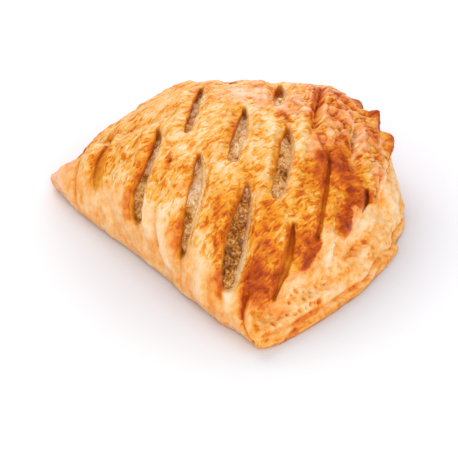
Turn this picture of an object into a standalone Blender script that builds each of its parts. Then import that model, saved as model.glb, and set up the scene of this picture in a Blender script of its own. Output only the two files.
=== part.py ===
"""Apple turnover: one sheet of puff pastry folded over an apple filling.

The sheet is folded along a straight line (the fold, at the front, -Y side) and its
curved edge (the arc, +Y side) is pressed together, so seen from above the turnover is
a deep half moon.  The upper sheet is cut with rows of slanting slits, which open over
the filling as it bakes.  Along the arc the cut edge has swollen into a pale slope of
layers between the browned rim of the upper sheet and a thin lip of the lower sheet.

Two solids: the pastry, and the apple filling that runs through it and shows in the slits.
Sizes are millimetres in this file; the objects are made in metres.
Frame: X along the fold, Y from the fold towards the arc, Z up.
"""
import math

import bmesh
import bpy
import numpy as np

MM = 0.001

# ------------------------------------------------------------------ driving sizes
FOLD_HALF = 66.0        # half the length of the fold
DEPTH = 107.0           # from the fold to the furthest point of the arc
HEIGHT = 46.2           # top of the dome above the table
ARC_POWER = 2.35        # 2 would be half an ellipse; more is squarer
FOLD_BOW = 1.0          # how far the middle of the fold bulges forward
CENTRE_SHARE = 0.42     # the dome's top, as a share of the depth
TOP_SHEET = 4.4         # thickness of the upper sheet over the filling
BASE_SHEET = 3.6        # thickness of the lower sheet
GAP = 0.35              # room between the filling and the pastry round it
LIP = 2.6               # thickness of the lower sheet's lip along the arc
NOSE = 9.5              # height of the fold's foremost point
RIM_STEP = 2.4          # drop from the upper sheet's rim onto the layered slope
RIM_OUT = 1.0           # how far that rim stands out over the slope
RIM_WAVE = 1.2          # and how far its scallops swing in and out
ORIGIN_SHIFT = (0.66, -53.91)  # from the middle of the fold to the middle of the whole

# Stations round the outline: the fold's middle, towards the right corner, the right
# corner, along the arc, the left corner, and back.  share is how far the station lies
# along its stretch; rim_z the height of the rim (on the fold, of its shoulder);
# rim_r the rim's place between the dome's top (0) and the outline (1); bulge moves the
# outline out; dome and edge are the powers that shape the dome's slope there.
# room is how far out the filling reaches.
#            stretch share rim_z  rim_r bulge  dome  edge  room
STATIONS = [("fold", 0.00, 26.4, 0.930, -0.1, 2.30, 0.60, 0.905),
            ("fold", 0.60, 20.7, 0.930, -0.5, 2.20, 0.65, 0.895),
            ("arc",  0.00, 12.1, 0.880, -1.6, 1.70, 0.85, 0.700),
            ("arc",  0.08, 17.8, 0.840, -1.0, 1.90, 0.85, 0.700),
            ("arc",  0.20, 19.0, 0.825, -0.1, 2.10, 0.80, 0.720),
            ("arc",  0.36, 23.3, 0.885, -0.4, 2.20, 0.75, 0.770),
            ("arc",  0.52, 27.3, 0.893,  2.3, 2.20, 0.75, 0.790),
            ("arc",  0.66, 22.0, 0.885,  0.8, 2.20, 0.75, 0.790),
            ("arc",  0.80, 25.9, 0.895,  1.0, 2.10, 0.80, 0.790),
            ("arc",  0.92, 18.3, 0.880,  0.2, 1.90, 0.85, 0.750),
            ("arc",  0.975, 12.7, 0.885, -1.0, 1.70, 0.90, 0.720),
            ("arc",  1.00,  9.0, 0.904, -1.4, 1.60, 0.95, 0.700),
            ("back", 0.12, 14.0, 0.920,  1.1, 1.80, 0.85, 0.720),
            ("back", 0.45, 20.4, 0.930,  1.6, 2.10, 0.70, 0.885)]
RIGHT, LEFT = 2, 11     # the corners' places in that table

# Slits: middle x, middle y, length, turn from the X axis in degrees, half width at the
# filling, and bow to the right of the slit.
SLITS = [(-33.0,  8.0, 22.0, -57.0, 1.0,  0.0),
         (-10.7, 10.3, 27.2, -56.0, 2.3, -0.6),
         ( 15.7, 10.4, 27.3, -52.0, 2.5,  0.4),
         ( 35.0, 15.1, 34.4, -51.7, 2.9,  0.9),
         ( 49.8, 23.9, 22.0, -54.8, 1.2,  1.4),
         (-43.0, 35.0, 22.0, -48.0, 1.5,  0.0),
         (-19.4, 38.9, 35.0, -48.0, 1.7,  0.0),
         (  7.2, 38.0, 28.9, -47.5, 2.8,  0.0),
         ( 24.7, 44.0, 29.7, -49.8, 2.7,  0.3),
         ( 38.4, 50.5, 31.0, -45.8, 0.9,  1.5),
         (-31.0, 66.0, 25.0, -47.0, 1.9,  0.3),
         ( -9.6, 69.6, 28.0, -50.0, 2.2,  0.0),
         (  4.2, 77.4, 29.0, -47.0, 1.8,  0.3),
         ( 25.0, 77.9, 22.0, -43.5, 1.3,  0.6),
         ( 43.2, 66.6, 10.0, -55.0, 1.1,  0.0)]

# Creases down the fold's front: x at the shoulder, x at the table, depth, half width.
CREASES = [(-41.0, -39.5, 1.5, 2.0), (-20.0, -17.5, 0.8, 2.4), (2.0, 5.0, 0.9, 2.4),
           (30.0, 33.5, 1.0, 2.6), (51.5, 56.5, 2.0, 3.0)]

AROUND = 88             # points round the outline
PASTRY_COLOUR = (0.80, 0.42, 0.13, 1.0)
FILLING_COLOUR = (0.50, 0.31, 0.13, 1.0)


# ------------------------------------------------------------------ small tools
def ease(u):
    u = np.clip(u, 0.0, 1.0)
    return u * u * (3.0 - 2.0 * u)


def evenly(x, y, n):
    """n points at equal steps along the closed line through x, y, and its length."""
    xx, yy = np.append(x, x[0]), np.append(y, y[0])
    run = np.concatenate([[0.0], np.cumsum(np.hypot(np.diff(xx), np.diff(yy)))])
    at = np.linspace(0.0, run[-1], n, endpoint=False)
    return np.interp(at, run, xx), np.interp(at, run, yy), run[-1]


def softened(v, points):
    """The closed line of values v, smoothed over that many points."""
    k = np.fft.rfftfreq(len(v), 1.0 / len(v))
    keep = np.exp(-0.5 * (2 * np.pi * k * points / len(v)) ** 2)
    return np.fft.irfft(np.fft.rfft(v) * keep, len(v))


def between(places, values, s):
    """Smooth periodic interpolation that never overshoots its values."""
    places, values = np.asarray(places, float), np.asarray(values, float)
    at = np.concatenate([places - 1, places, places + 1])
    val = np.tile(values, 3)
    step = np.diff(at)
    rise = np.diff(val) / step
    slope = np.zeros_like(val)
    a, b = rise[:-1], rise[1:]
    slope[1:-1] = np.where(a * b > 0, 2 * a * b / (a + b + 1e-12), 0.0)
    k = np.clip(np.searchsorted(at, s, side="right") - 1, 0, len(at) - 2)
    u, h = (s - at[k]) / step[k], step[k]
    return ((2 * u**3 - 3 * u**2 + 1) * val[k] + (u**3 - 2 * u**2 + u) * h * slope[k]
            + (3 * u**2 - 2 * u**3) * val[k + 1] + (u**3 - u**2) * h * slope[k + 1])


# ------------------------------------------------------------------ the outline
def places_of(x, y):
    """Where the stations lie along the outline, from 0 to 1."""
    s = np.arange(len(x)) / len(x)
    right = s[np.argmax(x - 0.8 * np.maximum(0, y))]
    left = s[np.argmin(x + 0.8 * np.maximum(0, y))]
    start = {"fold": 0.0, "arc": right, "back": left}
    length = {"fold": right, "arc": left - right, "back": 1.0 - left}
    return np.array([start[r[0]] + r[1] * length[r[0]] for r in STATIONS])


class Outline:
    """The half moon, and the rounder rings inside it."""

    def __init__(self, n):
        a, b, e = FOLD_HALF, DEPTH, 2.0 / ARC_POWER
        turn = np.linspace(0.0, np.pi, 900)
        c, s = np.cos(turn), np.sin(turn)
        half = np.linspace(0.0, a, 200)[:-1]
        x = np.concatenate([half, a * np.sign(c) * np.abs(c) ** e, -half[:0:-1]])
        y = np.concatenate([-FOLD_BOW * (1 - (half / a) ** 2), b * np.abs(s) ** e,
                            -FOLD_BOW * (1 - (half[:0:-1] / a) ** 2)])
        x, y, length = evenly(x, y, 4000)
        first = np.argmin(np.abs(x) + (y > b / 2) * 1e3)
        x, y = np.roll(x, -first), np.roll(y, -first)

        def rounded(mm):
            return softened(x, mm * 4000 / length), softened(y, mm * 4000 / length)

        (xl, yl), (xr, yr) = rounded(4.0), rounded(5.0)   # the left and the right corner
        w = ease((x + 25) / 50)
        x, y, _ = evenly(xl * (1 - w) + xr * w, yl * (1 - w) + yr * w, n)
        self.n, self.s, self.places = n, np.arange(n) / n, places_of(x, y)
        out = self.value(4)
        tx, ty = np.roll(x, -1) - np.roll(x, 1), np.roll(y, -1) - np.roll(y, 1)
        size = np.hypot(tx, ty)
        x, y = x + out * ty / size, y - out * tx / size
        self.sharp = np.array([x, y])
        self.soft = np.array([softened(v, 16.0 * n / length) for v in (x, y)])
        self.round = np.array([softened(v, 34.0 * n / length) for v in (x, y)])
        right, left = self.places[RIGHT], self.places[LEFT]
        self.fold = 1 - ease((self.s - right + 0.03) / 0.06) * (
            1 - ease((self.s - left + 0.03) / 0.06))

    def value(self, column):
        return between(self.places, [r[column] for r in STATIONS], self.s)

    def even(self, column):
        """The same, evened out along the outline."""
        return softened(self.value(column), self.n / 26.0)

    def ring(self, share):
        """x, y of the ring at that share of the way from the dome's top to the outline."""
        inner, outer = 1 - ease(share / 0.6), ease((share - 0.4) / 0.62)
        inner = inner * (1 - outer)
        x, y = (outer * self.sharp[i] + inner * self.round[i]
                + (1 - outer - inner) * self.soft[i] for i in (0, 1))
        cy = CENTRE_SHARE * DEPTH
        return share * x, cy + share * (y - cy)


# ------------------------------------------------------------------ the skin
RIM_AT = 0.70           # where along the way from top to table the rim lies


def crown(u):
    """Height of the middle of the dome, the same in every direction."""
    return 20.0 + (HEIGHT - 20.0) * (1 - u**2.1) ** 0.72


def skin(line, t):
    """Points of the plain skin. t runs from 0 at the dome's top to 1 at the table."""
    rim_z, rim_r, dome, edge = line.value(2), line.value(3), line.even(5), line.even(6)
    u = np.sin(np.clip(t / RIM_AT, 0, 1) * np.pi / 2) ** 1.15
    v = np.clip((t - RIM_AT) / (1 - RIM_AT), 0, 1)
    top = t <= RIM_AT
    # towards the arc: the dome ends at the rim, then down the slope of layers to the lip
    drop = ease(v / 0.16)
    run = np.clip((v - 0.10) / 0.74, 0, 1)
    low = np.clip((v - 0.84) / 0.16, 0, 1)
    layers = 0.55 * np.sin(run * 3 * 2 * np.pi) * np.sin(np.pi * run) ** 0.5
    arc_r = np.where(top, rim_r * u, rim_r + (1 - rim_r) * run**0.95 - 0.014 * low**2)
    slope = rim_z - RIM_STEP * drop + (LIP - rim_z + RIM_STEP) * run**1.05 + layers
    arc_z = np.where(top, rim_z + (HEIGHT - rim_z) * (1 - u**dome) ** edge, slope * (1 - low))
    # towards the fold: one round curve over the shoulder to the nose, then under it
    nose = np.minimum(NOSE, 0.6 * rim_z)
    a, b = np.clip(v / 0.6, 0, 1) * np.pi / 2, np.clip((v - 0.6) / 0.4, 0, 1) * np.pi / 2
    over = rim_r + (1 - rim_r) * np.sin(a)
    fold_r = np.where(top, rim_r * u, np.where(v <= 0.6, over, 1 - 0.07 * (1 - np.cos(b))))
    power = np.log((rim_z - nose) / (HEIGHT - nose)) / np.log(1 - rim_r**dome)
    round_z = nose + (HEIGHT - nose) * (1 - np.minimum(fold_r, 1) ** dome) ** power
    fold_z = np.where(v <= 0.6, round_z, nose * (1 - np.sin(b)))
    r = arc_r * (1 - line.fold) + fold_r * line.fold
    z = arc_z * (1 - line.fold) + fold_z * line.fold
    outward_share = ease(u / 0.85)
    z = np.where(top, z * outward_share + crown(u) * (1 - outward_share), z)
    x, y = line.ring(r)
    return np.stack([x, y, z + 0 * x], -1)


def normals(line, t):
    """Outward unit normals of the plain skin, from small steps along it."""
    step = 0.01
    down = skin(line, np.minimum(t + step, 0.999)) - skin(line, np.maximum(t - step, 0.002))
    p = skin(line, t)
    along = np.roll(p, -1, axis=1) - np.roll(p, 1, axis=1)
    n = np.cross(down, along)
    return n / np.maximum(np.linalg.norm(n, axis=-1, keepdims=True), 1e-9)


class Slit:
    """A slit's line over the skin, as points with tangents, normals and shares along it."""

    def __init__(self, row, grid, grid_n):
        x, y, length, turn, self.half, bow = row
        along = np.array([math.cos(math.radians(turn)), math.sin(math.radians(turn))])
        right = np.array([-along[1], along[0]])
        self.share = np.linspace(0.0, 1.0, 7)
        way = (self.share - 0.5)[:, None] * length
        plan = np.array([x, y]) + way * along + (bow * (1 - (2 * self.share - 1) ** 2))[:, None] * right
        flat, up = grid.reshape(-1, 3), grid_n.reshape(-1, 3)
        upper = up[:, 2] > 0.03
        flat, up = flat[upper], up[upper]
        self.points, self.up = [], []
        for q in plan:
            d = np.hypot(*(flat[:, :2] - q).T)
            near = np.argsort(d)[:10]
            w = 1.0 / (d[near] + 0.3) ** 2
            self.points.append((flat[near] * w[:, None]).sum(0) / w.sum())
            self.up.append((up[near] * w[:, None]).sum(0) / w.sum())
        self.points, self.up = np.array(self.points), np.array(self.up)
        self.up = self.up + self.up.mean(0)
        self.up /= np.linalg.norm(self.up, axis=1, keepdims=True)

    def width(self, share):
        """Half width along the slit: an eye, pointed above and rounder below."""
        return self.half * np.maximum(np.sin(np.pi * share**0.85), 0.0) ** 0.65

    def distance(self, p):
        """How far points p lie from the slit's line, and their share along it."""
        best, share = np.full(p.shape[:-1], 1e9), np.zeros(p.shape[:-1])
        for i in range(len(self.points) - 1):
            a, d = self.points[i], self.points[i + 1] - self.points[i]
            u = np.clip(((p - a) @ d) / (d @ d), 0, 1)
            far = np.linalg.norm(p - a - u[..., None] * d, axis=-1)
            near = far < best
            best = np.where(near, far, best)
            share = np.where(near, (i + u) / (len(self.points) - 1), share)
        return best, share


def relief(line, t, p, slits):
    """How far the skin stands out from its plain shape: valleys along the slits with
    plump strips between them, creases down the fold, and a wavy rim."""
    out = np.zeros(p.shape[:-1])
    for slit in slits:
        far, share = slit.distance(p)
        inside = np.sin(np.pi * np.clip(share, 0.04, 0.96)) ** 0.5
        size = 0.5 + 0.5 * slit.half / 2.5
        out += size * inside * (0.8 * np.exp(-((far - 8.5) / 3.6) ** 2)
                                - 1.4 * np.exp(-(far / 5.0) ** 2))
    front = line.fold * ease((t - 0.60) / 0.12) * (1 - 0.5 * ease((t - 0.9) / 0.1))
    for x_top, x_low, deep, half in CREASES:
        x = x_top + (x_low - x_top) * np.clip((t - 0.62) / 0.36, 0, 1)
        out -= front * deep * np.exp(-((p[..., 0] - x) / half) ** 2)
    return out


def rim_waves(line):
    """Scallops of the rim along the arc: in and out, and up and down."""
    s = line.s
    right, left = line.places[RIGHT], line.places[LEFT]
    on_arc = ease((s - right) / 0.05) * ease((left - s) / 0.05)
    share = (s - right) / (left - right)
    wave = (np.sin(2 * np.pi * (15.0 * share + 0.55 * np.sin(2 * np.pi * 2.3 * share)))
            + 0.5 * np.sin(2 * np.pi * (6.4 * share + 0.3)))
    lift = np.cos(2 * np.pi * (15.0 * share + 0.55 * np.sin(2 * np.pi * 2.3 * share) + 0.1))
    return on_arc * wave, on_arc * lift


def outer(line, t, slits):
    p, n = skin(line, t), normals(line, t)
    p = p + n * relief(line, t, p, slits)[..., None]
    wave, lift = rim_waves(line)
    rim = np.exp(-((t - RIM_AT - 0.01) / 0.035) ** 2)
    lip = np.exp(-((t - 0.95) / 0.04) ** 2)
    centre = np.array([0.0, CENTRE_SHARE * DEPTH])
    way = p[..., :2] - centre
    way = way / np.maximum(np.linalg.norm(way, axis=-1, keepdims=True), 1e-6)
    on_arc = 1 - line.fold
    push = rim * (RIM_OUT * on_arc + RIM_WAVE * wave) + lip * (0.9 * on_arc + 0.6 * np.roll(wave, 5))
    p[..., :2] += way * push[..., None]
    p[..., 2] += rim * 0.8 * lift
    p[..., 2] = np.maximum(p[..., 2], 0.0)
    return p


# ------------------------------------------------------------------ meshes
def solid(name, points, faces):
    """An object of that mesh, its curved faces split into flat triangles so that the
    Booleans cut them cleanly."""
    mesh = bpy.data.meshes.new(name)
    mesh.from_pydata([tuple(MM * c for c in p) for p in points], [], faces)
    work = bmesh.new()
    work.from_mesh(mesh)
    bmesh.ops.triangulate(work, faces=[f for f in work.faces if len(f.verts) == 4])
    work.to_mesh(mesh)
    work.free()
    obj = bpy.data.objects.new(name, mesh)
    bpy.context.scene.collection.objects.link(obj)
    return obj


def closed_rings(rings, flat_end=True):
    """One closed mesh from rings of points, first the top (a single point), then rings
    whose counts stay the same or double. The last ring is closed by a flat face."""
    points, faces, start = [rings[0][0]], [], [0]
    for ring in rings[1:]:
        start.append(len(points))
        points.extend(ring)
    for k in range(1, len(rings)):
        n, m = len(rings[k]), len(rings[k - 1])
        a, b = start[k], start[k - 1]
        for j in range(n):
            j2 = (j + 1) % n
            if k == 1:
                faces.append((0, a + j, a + j2))
            elif n == m:
                faces.append((b + j, a + j, a + j2, b + j2))
            elif j % 2 == 0:             # the outer ring has twice as many points
                h, h2 = j // 2, (j // 2 + 1) % m
                faces.append((b + h, a + j, a + j2))
                faces.append((b + h, a + j2, b + h2))
                faces.append((b + h2, a + j2, a + (j + 2) % n))
    if flat_end:
        faces.append(tuple(start[-1] + j for j in reversed(range(len(rings[-1])))))
    return points, faces


def shifted(points):
    return [(p[0] + ORIGIN_SHIFT[0], p[1] + ORIGIN_SHIFT[1], p[2]) for p in points]


def rings_of(grid, thin):
    """The rows of grid, as rings with fewer points near the top; thin gives each row's."""
    return [[grid[0, 0]]] + [list(row[::step]) for row, step in zip(grid[1:], thin)]


def pastry_outer(line, slits):
    t = np.concatenate([[0.0], np.linspace(0.06, 0.635, 14), [0.685, 0.70, 0.725, 0.75],
                        np.linspace(0.785, 0.925, 5), [0.952, 0.976, 1.0]])[:, None]
    grid = outer(line, np.broadcast_to(t, (len(t), line.n)), slits)
    grid[-1, :, 2] = 0.0
    thin = [4] * 2 + [2] * 4 + [1] * (len(t) - 7)
    return closed_rings(rings_of(grid, thin))


def inner_form(line, clear):
    """The filling's form: a dome under the upper sheet that ends, with round sides, at
    each station's room and stands on the lower sheet. clear shrinks it on all sides."""
    room, rim_z, rim_r, dome, edge = (line.value(7), line.value(2), line.value(3),
                                      line.even(5), line.even(6))
    way = np.concatenate([[0.0], np.linspace(0.12, 0.82, 7), [0.89, 0.94, 0.975, 1.0, 0.985]])[:, None]
    share = way * (room - clear / 30.0)
    u = np.clip(share / rim_r, 0, 1)
    nose = np.minimum(NOSE, 0.6 * rim_z)
    power = np.log((rim_z - nose) / (HEIGHT - nose)) / np.log(1 - rim_r**dome)
    arc = rim_z + (HEIGHT - rim_z) * (1 - u**dome) ** edge
    fold = nose + (HEIGHT - nose) * (1 - share**dome) ** power
    sheet = (TOP_SHEET + 1.3 * clear) * (1.0 + 0.35 * way**3)
    outer_share = ease(u / 0.85)
    top = arc * (1 - line.fold) + fold * line.fold
    top = top * outer_share + crown(u) * (1 - outer_share) - sheet
    floor = BASE_SHEET + clear
    z = floor + np.maximum(top - floor, 2.0) * (1 - way**12) ** 0.5
    z[-2:] = floor + np.array([[0.9], [0.0]])
    x, y = line.ring(share)
    grid = np.stack([x, y, z], -1)
    return closed_rings(rings_of(grid, [4, 4] + [2] * (len(grid) - 3)))


def slit_cutter(slit):
    """A tapering wedge along the slit: wide over the skin, narrow at the filling."""
    points, faces, n = [], [], len(slit.points)
    for i in range(n):
        p, up = slit.points[i], slit.up[i]
        along = slit.points[min(i + 1, n - 1)] - slit.points[max(i - 1, 0)]
        side = np.cross(up, along)
        side /= np.linalg.norm(side)
        half = max(slit.width(slit.share[i]), 0.2)
        wide = half + 2.4 * min(1.0, half / 1.2)
        for w, h in ((wide, 3.0), (-wide, 3.0), (-half, -TOP_SHEET - 1.6), (half, -TOP_SHEET - 1.6)):
            points.append(p + side * w + up * h)
    for i in range(n - 1):
        for a, b in ((0, 1), (1, 2), (2, 3), (3, 0)):
            faces.append((4 * i + a, 4 * i + b, 4 * i + 4 + b, 4 * i + 4 + a))
    faces.append((3, 2, 1, 0))
    faces.append(tuple(4 * (n - 1) + k for k in (0, 1, 2, 3)))
    return points, faces


def helper(obj):
    obj.hide_render = True
    obj.display_type = "WIRE"
    return obj


def cut(obj, cutter, name):
    modifier = obj.modifiers.new(name, "BOOLEAN")
    modifier.operation, modifier.solver, modifier.object = "DIFFERENCE", "EXACT", cutter


def material(name, colour, roughness):
    mat = bpy.data.materials.new(name)
    mat.use_nodes = True
    shader = mat.node_tree.nodes["Principled BSDF"]
    shader.inputs["Base Color"].default_value = colour
    shader.inputs["Roughness"].default_value = roughness
    shader.inputs["Metallic"].default_value = 0.0
    return mat


def outward(points, faces):
    """The same mesh with every face turned if its volume came out negative."""
    p, volume = np.array(points, float), 0.0
    for f in faces:
        for i in range(1, len(f) - 1):
            volume += float(np.dot(p[f[0]], np.cross(p[f[i]], p[f[i + 1]])))
    return (points, faces) if volume > 0 else (points, [tuple(reversed(f)) for f in faces])


def main():
    for obj in list(bpy.data.objects):
        bpy.data.objects.remove(obj, do_unlink=True)
    line = Outline(AROUND)
    fine = Outline(480)
    rows = np.linspace(0.01, 0.97, 110)[:, None] * np.ones((1, fine.n))
    rows = rows * (RIM_AT + (1 - RIM_AT) * fine.fold)       # the dome, and the fold's front
    grid, grid_n = skin(fine, rows), normals(fine, rows)
    slits = [Slit(row, grid, grid_n) for row in SLITS]

    def made(name, form):
        points, faces = form
        return solid(name, *outward(shifted(points), faces))

    pastry = made("pastry", pastry_outer(line, slits))
    cavity = helper(made("cavity_cutter", inner_form(line, 0.0)))
    for i, slit in enumerate(slits, 1):
        wedge = helper(made(f"slit_cutter_{i}", slit_cutter(slit)))
        cut(pastry, wedge, f"Slit {i}")
    cut(pastry, cavity, "Room for the filling")
    filling = made("apple_filling", inner_form(line, GAP))
    pastry.data.materials.append(material("baked_pastry", PASTRY_COLOUR, 0.45))
    filling.data.materials.append(material("apple_compote", FILLING_COLOUR, 0.25))
    for obj in (pastry, filling):
        obj.data.shade_smooth()
        obj.data.set_sharp_from_angle(angle=math.radians(50))


main()
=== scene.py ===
"""Looks of the apple turnover: browned upper crust with slits, layered side with its
base sheet, and the apple filling seen in the slits.  All pieces are closed meshes made
from functions, with procedural materials driven by named fields on their points."""
import math

import bpy
import numpy as np
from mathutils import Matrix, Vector


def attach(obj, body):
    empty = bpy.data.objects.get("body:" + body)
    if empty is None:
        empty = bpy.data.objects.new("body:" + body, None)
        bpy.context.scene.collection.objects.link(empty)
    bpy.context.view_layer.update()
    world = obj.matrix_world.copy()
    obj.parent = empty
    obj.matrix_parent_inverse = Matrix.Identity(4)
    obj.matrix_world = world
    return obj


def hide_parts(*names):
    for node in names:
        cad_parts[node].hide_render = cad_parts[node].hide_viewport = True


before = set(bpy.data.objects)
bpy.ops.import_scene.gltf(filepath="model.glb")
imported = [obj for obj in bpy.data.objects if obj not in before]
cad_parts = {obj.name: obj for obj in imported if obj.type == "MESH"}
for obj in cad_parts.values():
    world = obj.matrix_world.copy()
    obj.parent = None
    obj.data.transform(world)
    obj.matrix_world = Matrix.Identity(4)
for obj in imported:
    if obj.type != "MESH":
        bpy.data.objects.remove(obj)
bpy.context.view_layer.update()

MM = 0.001

# ---------------------------------------------------------------- sizes (mm), as the CAD's
FOLD_HALF, DEPTH, HEIGHT, ARC_POWER, FOLD_BOW = 66.0, 107.0, 46.2, 2.35, 1.0
CENTRE_SHARE, LIP, NOSE, RIM_STEP, RIM_AT = 0.42, 2.6, 9.5, 2.4, 0.70
ORIGIN_SHIFT = np.array([0.66, -53.91, 0.0])
#            stretch share rim_z  rim_r bulge  dome  edge
STATIONS = [("fold", 0.00, 26.4, 0.930, -0.1, 2.30, 0.60),
            ("fold", 0.60, 20.7, 0.930, -0.5, 2.20, 0.65),
            ("arc",  0.00, 12.1, 0.880, -1.6, 1.70, 0.85),
            ("arc",  0.08, 17.8, 0.840, -1.0, 1.90, 0.85),
            ("arc",  0.20, 19.0, 0.825, -0.1, 2.10, 0.80),
            ("arc",  0.36, 23.3, 0.885, -0.4, 2.20, 0.75),
            ("arc",  0.52, 27.3, 0.893,  2.3, 2.20, 0.75),
            ("arc",  0.66, 22.0, 0.885,  0.8, 2.20, 0.75),
            ("arc",  0.80, 25.9, 0.895,  1.0, 2.10, 0.80),
            ("arc",  0.92, 18.3, 0.880,  0.2, 1.90, 0.85),
            ("arc",  0.975, 12.7, 0.885, -1.0, 1.70, 0.90),
            ("arc",  1.00,  9.0, 0.904, -1.4, 1.60, 0.95),
            ("back", 0.12, 14.0, 0.920,  1.1, 1.80, 0.85),
            ("back", 0.45, 20.4, 0.930,  1.6, 2.10, 0.70)]
RIGHT, LEFT = 2, 11


# ---------------------------------------------------------------- small tools
def ease(u):
    u = np.clip(u, 0.0, 1.0)
    return u * u * (3.0 - 2.0 * u)


def mix(a, b, w):
    return a + (b - a) * w


def evenly(x, y, n):
    xx, yy = np.append(x, x[0]), np.append(y, y[0])
    run = np.concatenate([[0.0], np.cumsum(np.hypot(np.diff(xx), np.diff(yy)))])
    at = np.linspace(0.0, run[-1], n, endpoint=False)
    return np.interp(at, run, xx), np.interp(at, run, yy), run[-1]


def softened(v, points):
    k = np.fft.rfftfreq(len(v), 1.0 / len(v))
    keep = np.exp(-0.5 * (2 * np.pi * k * points / len(v)) ** 2)
    return np.fft.irfft(np.fft.rfft(v) * keep, len(v))


def between(places, values, s):
    places, values = np.asarray(places, float), np.asarray(values, float)
    at = np.concatenate([places - 1, places, places + 1])
    val = np.tile(values, 3)
    step = np.diff(at)
    rise = np.diff(val) / step
    slope = np.zeros_like(val)
    a, b = rise[:-1], rise[1:]
    slope[1:-1] = np.where(a * b > 0, 2 * a * b / (a + b + 1e-12), 0.0)
    k = np.clip(np.searchsorted(at, s, side="right") - 1, 0, len(at) - 2)
    u, h = (s - at[k]) / step[k], step[k]
    return ((2 * u**3 - 3 * u**2 + 1) * val[k] + (u**3 - 2 * u**2 + u) * h * slope[k]
            + (3 * u**2 - 2 * u**3) * val[k + 1] + (u**3 - u**2) * h * slope[k + 1])


GRADS = np.array([(1, 1, 0), (-1, 1, 0), (1, -1, 0), (-1, -1, 0), (1, 0, 1), (-1, 0, 1),
                  (1, 0, -1), (-1, 0, -1), (0, 1, 1), (0, -1, 1), (0, 1, -1), (0, -1, -1),
                  (1, 1, 0), (0, -1, 1), (-1, 1, 0), (0, -1, -1)], float)


def noise(p, seed=0):
    """Gradient noise, about -1 to 1, at points p (..., 3)."""
    p = np.asarray(p, float)
    cell = np.floor(p).astype(np.int64)
    f = p - cell
    u = f * f * f * (f * (f * 6 - 15) + 10)
    out = np.zeros(p.shape[:-1])
    for dx in (0, 1):
        for dy in (0, 1):
            for dz in (0, 1):
                h = ((cell[..., 0] + dx) * 73856093) ^ ((cell[..., 1] + dy) * 19349663) \
                    ^ ((cell[..., 2] + dz) * 83492791) ^ (seed * 39916801 + 12345)
                h = ((h ^ (h >> 13)) * 1274126177) & 0x7FFFFFFF
                h = h ^ (h >> 15)
                g = GRADS[(h >> 5) & 15]
                w = ((u[..., 0] if dx else 1 - u[..., 0]) * (u[..., 1] if dy else 1 - u[..., 1])
                     * (u[..., 2] if dz else 1 - u[..., 2]))
                out += w * (g[..., 0] * (f[..., 0] - dx) + g[..., 1] * (f[..., 1] - dy)
                            + g[..., 2] * (f[..., 2] - dz))
    return out * 1.25


def layered_noise(p, octaves, seed=0, gain=0.5):
    out, size = 0.0, 1.0
    for k in range(octaves):
        out = out + size * noise(p * 2.0**k + 17.3 * k, seed + k)
        size *= gain
    return out


def flat3(*parts):
    parts = np.broadcast_arrays(*parts)
    return np.stack(parts, -1)


# ---------------------------------------------------------------- outline and plain skin
def places_of(x, y):
    s = np.arange(len(x)) / len(x)
    right = s[np.argmax(x - 0.8 * np.maximum(0, y))]
    left = s[np.argmin(x + 0.8 * np.maximum(0, y))]
    start = {"fold": 0.0, "arc": right, "back": left}
    length = {"fold": right, "arc": left - right, "back": 1.0 - left}
    return np.array([start[r[0]] + r[1] * length[r[0]] for r in STATIONS])


# How far the rim wanders from the CAD's even rim along the arc: up (mm) and in (share).
WANDER_AT = [0.0, 0.120, 0.146, 0.163, 0.181, 0.203, 0.221, 0.241, 0.262, 0.285, 0.312, 0.329, 0.356,
             0.371, 0.388, 0.412, 0.438, 0.456, 0.474, 0.50, 0.53, 0.57, 0.61, 0.65, 0.69, 0.73, 0.78, 0.83]
WANDER_Z = (WANDER_AT, [0.0, 0.0, 1.2, 1.6, -1.4, 0.5, -0.9, 1.6, 2.8, -0.6, -0.9, 1.2, -2.2,
                        0.4, 1.6, -0.4, 0.6, -0.6, 1.2, -0.6, 0.9, -0.9, 0.8, -0.7, 0.9, -0.8, 0.4, 0.0])
WANDER_R = (WANDER_AT, [0.0, 0.0, -0.012, -0.015, 0.004, -0.004, 0.004, -0.016, -0.028, 0.0, 0.0, -0.012, 0.004,
                        -0.004, -0.012, 0.0, -0.004, 0.0, -0.010, 0.0, -0.006, 0.004, -0.006, 0.004, -0.006, 0.004, 0.0, 0.0])


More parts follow.
